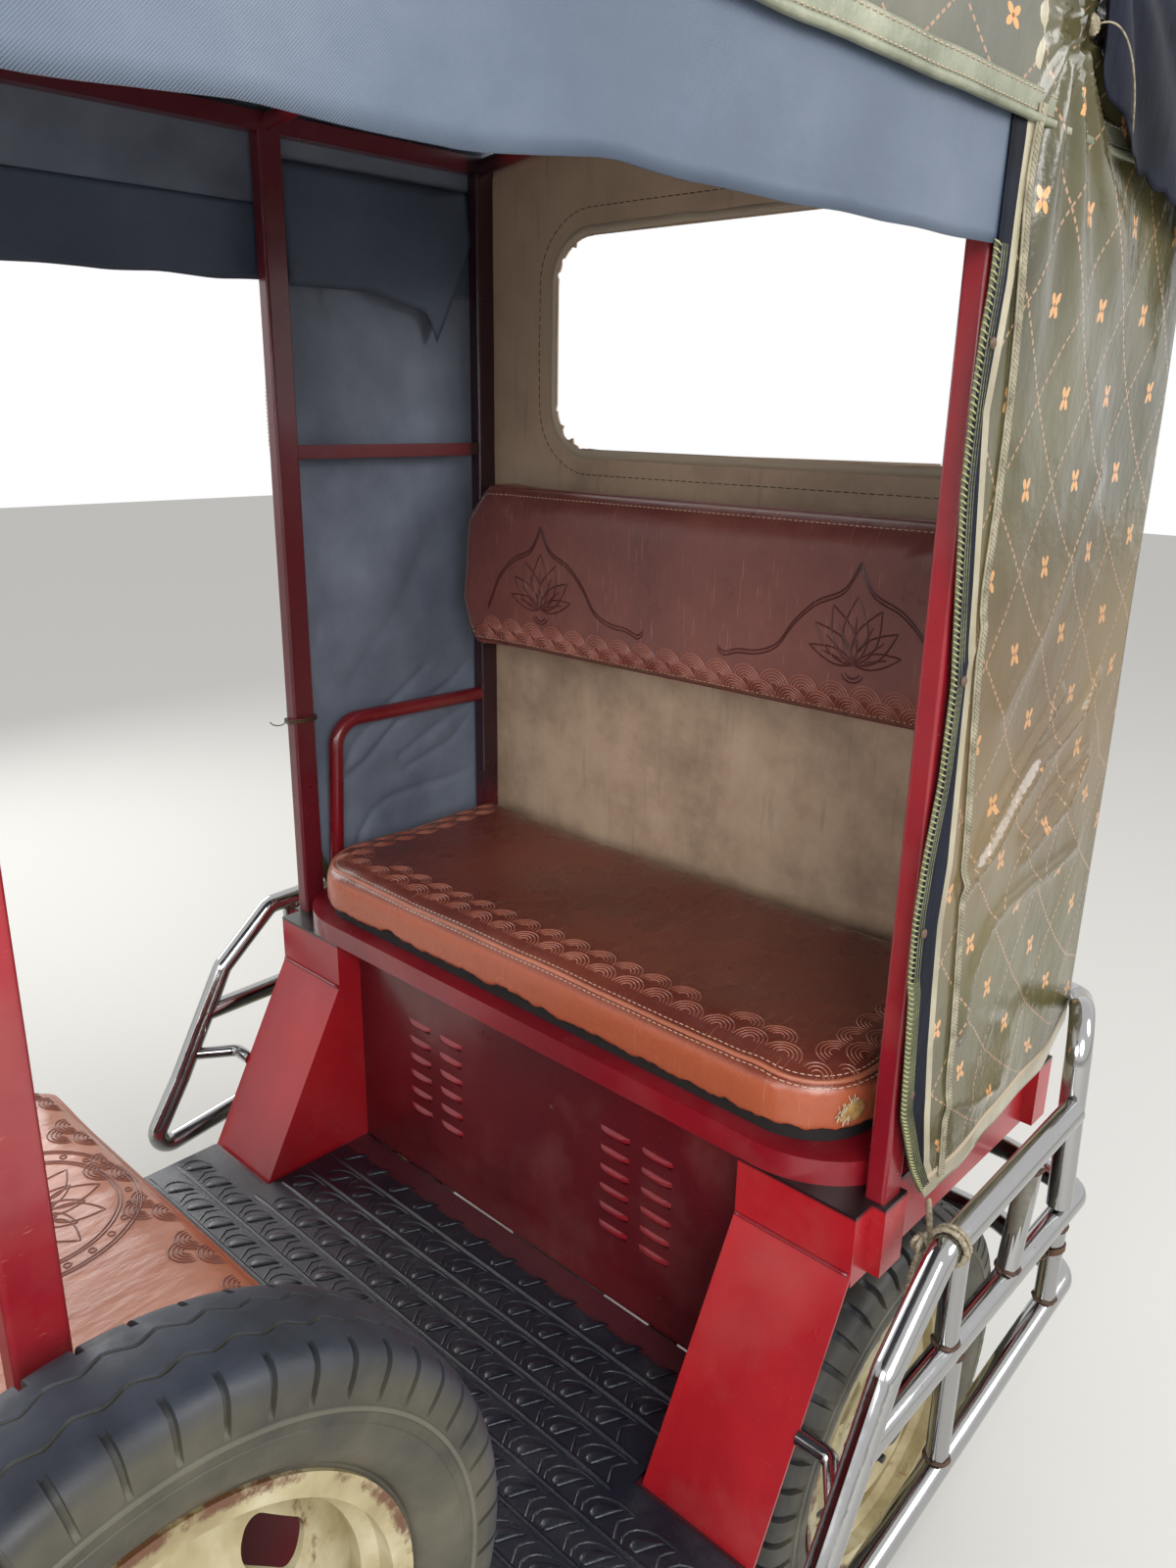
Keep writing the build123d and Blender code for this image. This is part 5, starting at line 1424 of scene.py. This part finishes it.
# Loose drape: black vinyl that has come away from the roof at the left rear corner. It hangs in pleats from the
# curtain's knot back over the curtain, torn and ragged along its foot.
DRAPE_TOP, DRAPE_FRONT, DRAPE_LONG, PLEATS_FROM = 1.688, -0.886, 0.3185, (-0.870, 1.760)
DRAPE_FOOT = (
    (-1.2045, 1.392), (-1.172, 1.452), (-1.142, 1.508), (-1.045, 1.528), (-0.969, 1.548), (-0.927, 1.576),
    (-0.900, 1.604), (-0.886, 1.640),
)
rows = []
for i in range(33):
    row = []
    for x in (DRAPE_FRONT - DRAPE_LONG * j / 96 for j in range(97)):
        foot = level_at(DRAPE_FOOT, x) + ripple(x * 60, 1.0, 0.0, 0.005)
        z = DRAPE_TOP + (foot - DRAPE_TOP) * i / 32
        fan = math.atan2(PLEATS_FROM[0] - x, PLEATS_FROM[1] - z)
        pleat = 0.5 + 0.5 * math.sin(fan * 19.0 + ripple(x * 6, z * 6, 2.0, 1.5))
        deep = 0.0085 * min(1.0, (i + 3) / 14) * pleat ** 0.7
        row.append(Vector((x, 0.5225 + deep + ripple(x * 30, z * 12, 6.0, 0.002), z)))
    rows.append(row)
cloth_sheet("loose_drape", rows, (black_vinyl_and_painted_shadow,), 0.0011, "canopy_vinyl", flat=(0.36, 0.31), area=0.052)

# Curtain rope: grey-beige twisted cord, tied through the curtain's front corner and knotted round the guard's rail,
# its ends frayed.
rope_fibre = new_material("rope_fibre", tint(150, 136, 112), 0.85)
feed(rope_fibre, "Base Color", patches(rope_fibre, 160.0, 4.0, (0.3, tint(108, 96, 76)), (0.7, tint(184, 172, 148))))
bump(rope_fibre, speckle(rope_fibre, 500.0, 3.0, where=position(rope_fibre, (1.0, 1.0, 3.0))), 0.8, 0.001)


def twisted(line, radius, strand, turns):
    """Three strands laid round a line; returns one list of points and radii per strand."""
    strands = []
    for k in range(3):
        points = []
        for i, place in enumerate(line):
            along = along_at(line, i)
            side_way = along.orthogonal().normalized()
            up_way = along.cross(side_way)
            angle = 2 * math.pi * (turns * i / (len(line) - 1) + k / 3)
            points.append(place + (side_way * math.cos(angle) + up_way * math.sin(angle)) * radius)
        strands.append((points, strand))
    return strands


random.seed(11)
ROPE_FROM, ROPE_TO = Vector((-0.872, 0.5143, 0.592)), Vector((-0.816, 0.5450, 0.593))
RAIL_AT, WRAP_RADIUS, WRAP_PITCH, FRAYED = Vector((-0.812, 0.565, 0.6004)), 0.0176, 0.0072, 10
KNOT = Vector((-0.812, 0.5400, 0.590))
strands = twisted([ROPE_FROM.lerp(ROPE_TO, i / 30) for i in range(31)], 0.0017, 0.0018, 5.5)
for wrap in range(2):
    ring = []
    for i, a in enumerate(circle_line(32)):
        x = RAIL_AT.x - 0.008 + wrap * WRAP_PITCH + 0.003 * i / 32
        rise = RAIL_AT.z + WRAP_RADIUS * math.sin(a) + 0.0003 * wrap
        ring.append(Vector((x, RAIL_AT.y + WRAP_RADIUS * math.cos(a), rise)))
    strands += twisted(ring, 0.0015, 0.0017, 11)
for tilt, size in ((0.0, 0.0105), (1.1, 0.0090), (2.2, 0.0098)):
    ring = []
    for a in circle_line(24):
        flat = Vector((math.cos(a) * size, 0.0, math.sin(a) * size * 0.8))
        ring.append(KNOT + Vector((flat.x * math.cos(tilt), flat.x * math.sin(tilt), flat.z)))
    strands += twisted(ring, 0.0015, 0.0017, 8)
for end in (Vector((0.012, -0.004, -0.034)), Vector((-0.020, 0.006, -0.026))):
    tail = [KNOT + end * t + Vector((0.004 * math.sin(3 * t), 0, -0.006 * t * t)) for t in (i / 12 for i in range(13))]
    strands += twisted(tail, 0.0014, 0.0016, 3)
    for _ in range(FRAYED):
        spread = Vector((random.uniform(-0.5, 0.5), random.uniform(-0.5, 0.5), random.uniform(-0.5, 0.3)))
        way = (end.normalized() + spread).normalized()
        tip = tail[-1] + way * random.uniform(0.010, 0.018) + Vector((0, 0, -0.002))
        strands.append(([tail[-1] - way * 0.004, tail[-1] + way * 0.006, tip], 0.0006))
rope = round_strands("curtain_rope_strands", strands, rope_fibre)
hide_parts("curtain_rope")

# Roof knot: thin twisted cord, tied round the curtain's head to gather it to the roof's edge. A loose thread hangs
# from it.
cords = []
for side in (1, -1):
    at = Vector((KNOT_AT.x, side * (KNOT_AT.y + 0.004), KNOT_AT.z))
    for tilt, size in ((0.3, 0.0055), (1.4, 0.0045), (2.4, 0.0050)):
        ring = []
        for a in circle_line(24):
            out = math.cos(a) * size
            rise = math.sin(a) * size + 0.4 * out * math.sin(tilt)
            ring.append(at + Vector((out * math.cos(tilt), side * abs(out) * 0.4, rise)))
        cords += twisted(ring, 0.0009, 0.0010, 5)
    loose = []
    for t in (i / 20 for i in range(21)):
        sway = side * (0.006 + 0.014 * math.sin(math.pi * t))
        drop = -0.012 * t - 0.048 * t * t + 0.004 * math.sin(7 * t)
        loose.append(at + Vector((-0.040 * t - 0.050 * t * t, sway, drop)))
    cords.append((loose, 0.0007))
round_strands("roof_knots", cords, rope_fibre)

# Driver's cushion: a flat tan pad on the seat box, its pressed decoration a round flower medal in the middle and
# waves along the edges, with a welt round the top.
driver_vinyl = leathercloth(
    "driver_leathercloth", tint(160, 94, 68), tint(196, 128, 98), (0.14, 0.3), tint(176, 100, 68), 0.602,
)
driver_pad = stuffed("driver_pad", "driver_cushion", driver_vinyl, 0.006, 0.008, 0.0085)
DRIVER_LOW, DRIVER_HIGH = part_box("driver_cushion")
WELT_INSET, WAVE_INSET, DRIVER_ARCS = 0.017, 0.026, (0.005, 0.009, 0.013, 0.017)


def on_driver(x, y):
    return Vector((x, y, DRIVER_HIGH.z))


welt = rounded_box(
    DRIVER_LOW.x + WELT_INSET, DRIVER_HIGH.x - WELT_INSET, DRIVER_LOW.y + WELT_INSET, DRIVER_HIGH.y - WELT_INSET,
    0.028, 8,
)
welt = evenly([on_driver(x, y) for x, y in welt], 0.010)
moulded_lines("driver_welt", driver_pad, [welt], DOWN, 0.006, 0.002, tan_vinyl)
# The medal: its middle, its plain rings, and its petals' count, start, length and width.
MEDAL, MEDAL_RINGS, BEAD_RING = Vector((-0.222, -0.062)), (0.1020, 0.0985, 0.0845, 0.0810), 0.0915
MEDAL_PETALS = ((10, 0.018, 0.054, 0.028), (10, 0.013, 0.040, 0.020), (8, 0.006, 0.024, 0.014))
BEADS, BEAD_SIZE, MEDAL_EYE = 24, 0.0032, 0.0055


def circle_at(centre, radius, count):
    """A pressed circle on the driver's cushion."""
    return arc_fan(centre, (radius,), 0.0, 2 * math.pi, count, on_driver)


pressed = circle_at(MEDAL, MEDAL_EYE, 12)
for radius in MEDAL_RINGS:
    pressed += circle_at(MEDAL, radius, 60)
for a in circle_line(BEADS)[:-1]:
    pressed += circle_at(MEDAL + Vector((math.cos(a), math.sin(a))) * BEAD_RING, BEAD_SIZE, 8)
for ring, (count, start, length, width) in enumerate(MEDAL_PETALS):
    for i in range(count):
        a = 2 * math.pi * (i + 0.5 * (ring % 2)) / count
        pressed += petal(MEDAL + Vector((math.cos(a), math.sin(a))) * start, a, length, width, on_driver)[:2]
for side, x in ((1, DRIVER_LOW.x + WAVE_INSET), (-1, DRIVER_HIGH.x - WAVE_INSET)):
    for i in range(7):
        for shift, away in ((0.0, 0.006), (0.030, 0.0), (0.015, 0.020)):
            start, place = -side * math.pi / 2, (x + side * away, i * 0.0835 - 0.265 + shift)
            pressed += arc_fan(place, DRIVER_ARCS, start, start + math.pi, 9, on_driver)
for side, start in ((-1, 0.0), (1, math.pi)):
    for i in range(4):
        for shift, away in ((0.0, 0.006), (0.030, 0.0)):
            place = (i * 0.085 - 0.305 + shift, side * (DRIVER_HIGH.y - WAVE_INSET - away))
            pressed += arc_fan(place, DRIVER_ARCS, start, start + math.pi, 9, on_driver)
dark_line = leathercloth("pressed_line_dark", tint(104, 58, 48), tint(136, 80, 64), (0.3, 0.5))
moulded_lines("driver_pressed", driver_pad, pressed, DOWN, 0.0022, 0.0010, dark_line)

# Windscreen glass, headlamp and tail lamps: clear and red plastic and glass with fine ribs. The grips and the
# battery's case are ribbed too.
glass = new_material("clear_glass", (0.92, 0.96, 0.95), 0.03, transmission_weight=1.0, ior=1.45)
feed(glass, "Roughness", patches(glass, 6.0, 6.0, (0.4, 0.02), (0.9, 0.14)))
dress(glass, "windscreen_glass")
BRIGHT_METAL = (0.75, 0.75, 0.73)
lamp_metal = new_material("headlamp_finish", BRIGHT_METAL, 0.12, 1.0)
lens = edge_at(lamp_metal, "X", -0.43, (0.4955, 0.0), (0.4965, 1.0))
shell = edge_at(lamp_metal, "X", -0.412, (0.4985, 0.0), (0.4995, 1.0))
color = blend_color(lamp_metal, shell, (0.02, 0.02, 0.02), BRIGHT_METAL)
feed(lamp_metal, "Base Color", blend_color(lamp_metal, lens, color, (0.80, 0.84, 0.86)))
feed(lamp_metal, "Roughness", ramp(lamp_metal, lens, (0.0, 0.12), (1.0, 0.08)))
bump(lamp_metal, calc(lamp_metal, "MULTIPLY", ribbed(lamp_metal, 40.0, "Y"), lens), 0.5, 0.002)
dress(lamp_metal, "headlamp")
tail_red = new_material("tail_red", tint(170, 14, 18), 0.15, coat_weight=0.6)
from_middle = calc(tail_red, "ADD", calc(tail_red, "ABSOLUTE", place_along(tail_red, "Y")), 0.09)
amber = ramp(tail_red, from_middle, (0.498, 0.0), (0.500, 1.0))
feed(tail_red, "Base Color", blend_color(tail_red, amber, tint(172, 12, 18), tint(222, 112, 20)))
cells = node(tail_red, "ShaderNodeTexVoronoi", {"Vector": position(tail_red), "Scale": 150.0}).outputs["Distance"]
bump(tail_red, cells, 0.6, 0.002)
dress(tail_red, "tail_lamps")
grip_rubber = new_material("grip_rubber", (0.015, 0.015, 0.016), 0.6)
bump(grip_rubber, ribbed(grip_rubber, 60.0, "Y"), 0.8, 0.0015)
dress(grip_rubber, "grips")
battery_plastic = new_material("battery_case", tint(48, 50, 56), 0.5)
bump(battery_plastic, ribbed(battery_plastic, 14.0, "Y"), 0.6, 0.004)
dress(battery_plastic, "battery_pack")

# Guard links: short grey-painted tubes welded between the chromed rails, with lumpy rusty weld beads at each end.
# They are sleeved a hair over the CAD links, which are part of the chromed guard.
link_grey = grained(
    "link_grey", tint(112, 108, 96), 0.5, (120.0, 5.0, 0.5, 0.001),
    (30.0, 8.0, (0.35, tint(62, 54, 46)), (0.5, tint(92, 88, 78)), (0.75, tint(122, 118, 106))),
)
weld_rust = grained(
    "weld_rust", tint(74, 58, 48), 0.85, (260.0, 6.0, 1.0, 0.002),
    (130.0, 8.0, (0.3, tint(44, 34, 30)), (0.6, tint(86, 62, 48)), (0.8, tint(126, 116, 102))),
)
GUARD_Y, SLEEVE_RADIUS, WELD_RADIUS = 0.565, 0.0116, 0.0122
# The foot and the head of each link, in X and Z.
GUARD_LINKS = (
    ((-0.835, 0.478), (-0.835, 0.586)), ((-0.9745, 0.482), (-0.998, 0.590)),
    ((-0.852, 0.319), (-0.852, 0.449)), ((-1.112, 0.355), (-1.112, 0.452)),
)
for side, word in ((1, "left"), (-1, "right")):
    sleeves, welds = [], []
    for link in GUARD_LINKS:
        low, high = (Vector((x, side * GUARD_Y, z)) for x, z in link)
        sleeves.append(([low.lerp(high, i / 10) for i in range(11)], SLEEVE_RADIUS))
        for end, away in ((low, 1), (high, -1)):
            line = []
            for i, a in enumerate(circle_line(24)):
                lump = WELD_RADIUS + ripple(i * 0.9, end.x * 40, end.z * 40, 0.0012)
                rise = -away * 0.002 + 0.001 * math.sin(5 * a)
                line.append(end + Vector((math.cos(a) * lump, math.sin(a) * lump, rise)))
            welds.append((line, 0.0024))
    round_strands(f"guard_links_{word}", sleeves, link_grey, sides=16)
    round_strands(f"guard_welds_{word}", welds, weld_rust, sides=8)

# Wire ties: thin rusty steel wire, twisted by hand round a far post and round a guard link. Each has a short
# loose tail.
wire = grained("tie_wire", tint(92, 70, 52), 0.5, (700.0, 4.0, 0.4, 0.0003), metallic=0.6)
ties = []
for centre, radius, turns in (
    (Vector((-0.825, -0.487, 0.905)), 0.0235, 3), (Vector((-1.112, 0.565, 0.420)), 0.0145, 4),
):
    line = []
    for i, a in enumerate(circle_line(turns * 20, 0.0, turns * 2 * math.pi)):
        rise = 0.0022 * i / 20 + 0.0035 * math.sin(a)
        line.append(centre + Vector((radius * math.cos(a), radius * math.sin(a) * 0.9, rise)))
    tail = [line[-1] + Vector((0.004 * i, 0.003 * math.sin(i), -0.004 * i + 0.0006 * i * i)) for i in range(8)]
    ties += [(line, 0.0009), (tail, 0.0008)]
round_strands("wire_ties", ties, wire, sides=6)

# Bench front: the louvres' hoods are pressed out of the steel sheet, one over each slot, and sprayed with it. A
# weld runs up each corner and along the arch beside it.
LOUVRE_ROWS, LOUVRE_PITCH, LOUVRE_FIRST, LOUVRE_COLUMNS, LOUVRE_LONG = 6, 0.027, 0.385, (0.150, 0.215), 0.044
# The hood's section: how far it stands out of the sheet, and its height over the slot's middle.
HOOD_SECTION = ((0.0, 0.0072), (0.0028, 0.0050), (0.0044, 0.0018), (0.0044, 0.0004), (0.0030, 0.0018), (0.0006, 0.0052))
BENCH_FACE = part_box("bench_box")[1].x
# The weld up each corner: its place, foot and length. The arch's weld: its place, height, length and bead.
WELD_X, WELD_Y, WELD_FOOT, WELD_TALL = -0.8085, 0.352, 0.300, 0.305
ARCH_WELD_X, ARCH_WELD_Z, ARCH_WELD_WIDE, BEAD_RADIUS = -0.7715, 0.5452, 0.134, 0.0022
form = bmesh.new()
for row in range(LOUVRE_ROWS):
    for middle in (side * column for column in LOUVRE_COLUMNS for side in (-1, 1)):
        z, lines = LOUVRE_FIRST + row * LOUVRE_PITCH, []
        for t in (i / 8 for i in range(9)):
            reach, y = math.sin(math.pi * t) ** 0.45, middle + (t - 0.5) * (LOUVRE_LONG + 0.002)
            lines.append([form.verts.new((BENCH_FACE + x * reach + 0.0002, y, z + h)) for x, h in HOOD_SECTION])
        for a, b in zip(lines, lines[1:]):
            for j in range(5):
                form.faces.new((a[j], b[j], b[j + 1], a[j + 1]))
finish_piece(form, "louvre_hoods", red_paint)
seams = []
for side in (-1, 1):
    upright = []
    for i in range(41):
        x, z = WELD_X + ripple(i * 0.8, side, 0, 0.0008), WELD_FOOT + WELD_TALL * i / 40
        upright.append(Vector((x, side * WELD_Y, z)))
    level = [Vector((ARCH_WELD_X, side * (WELD_Y + ARCH_WELD_WIDE * i / 20), ARCH_WELD_Z)) for i in range(21)]
    seams += [(upright, BEAD_RADIUS), (level, BEAD_RADIUS)]
round_strands("bench_weld_seams", seams, red_paint, sides=6)
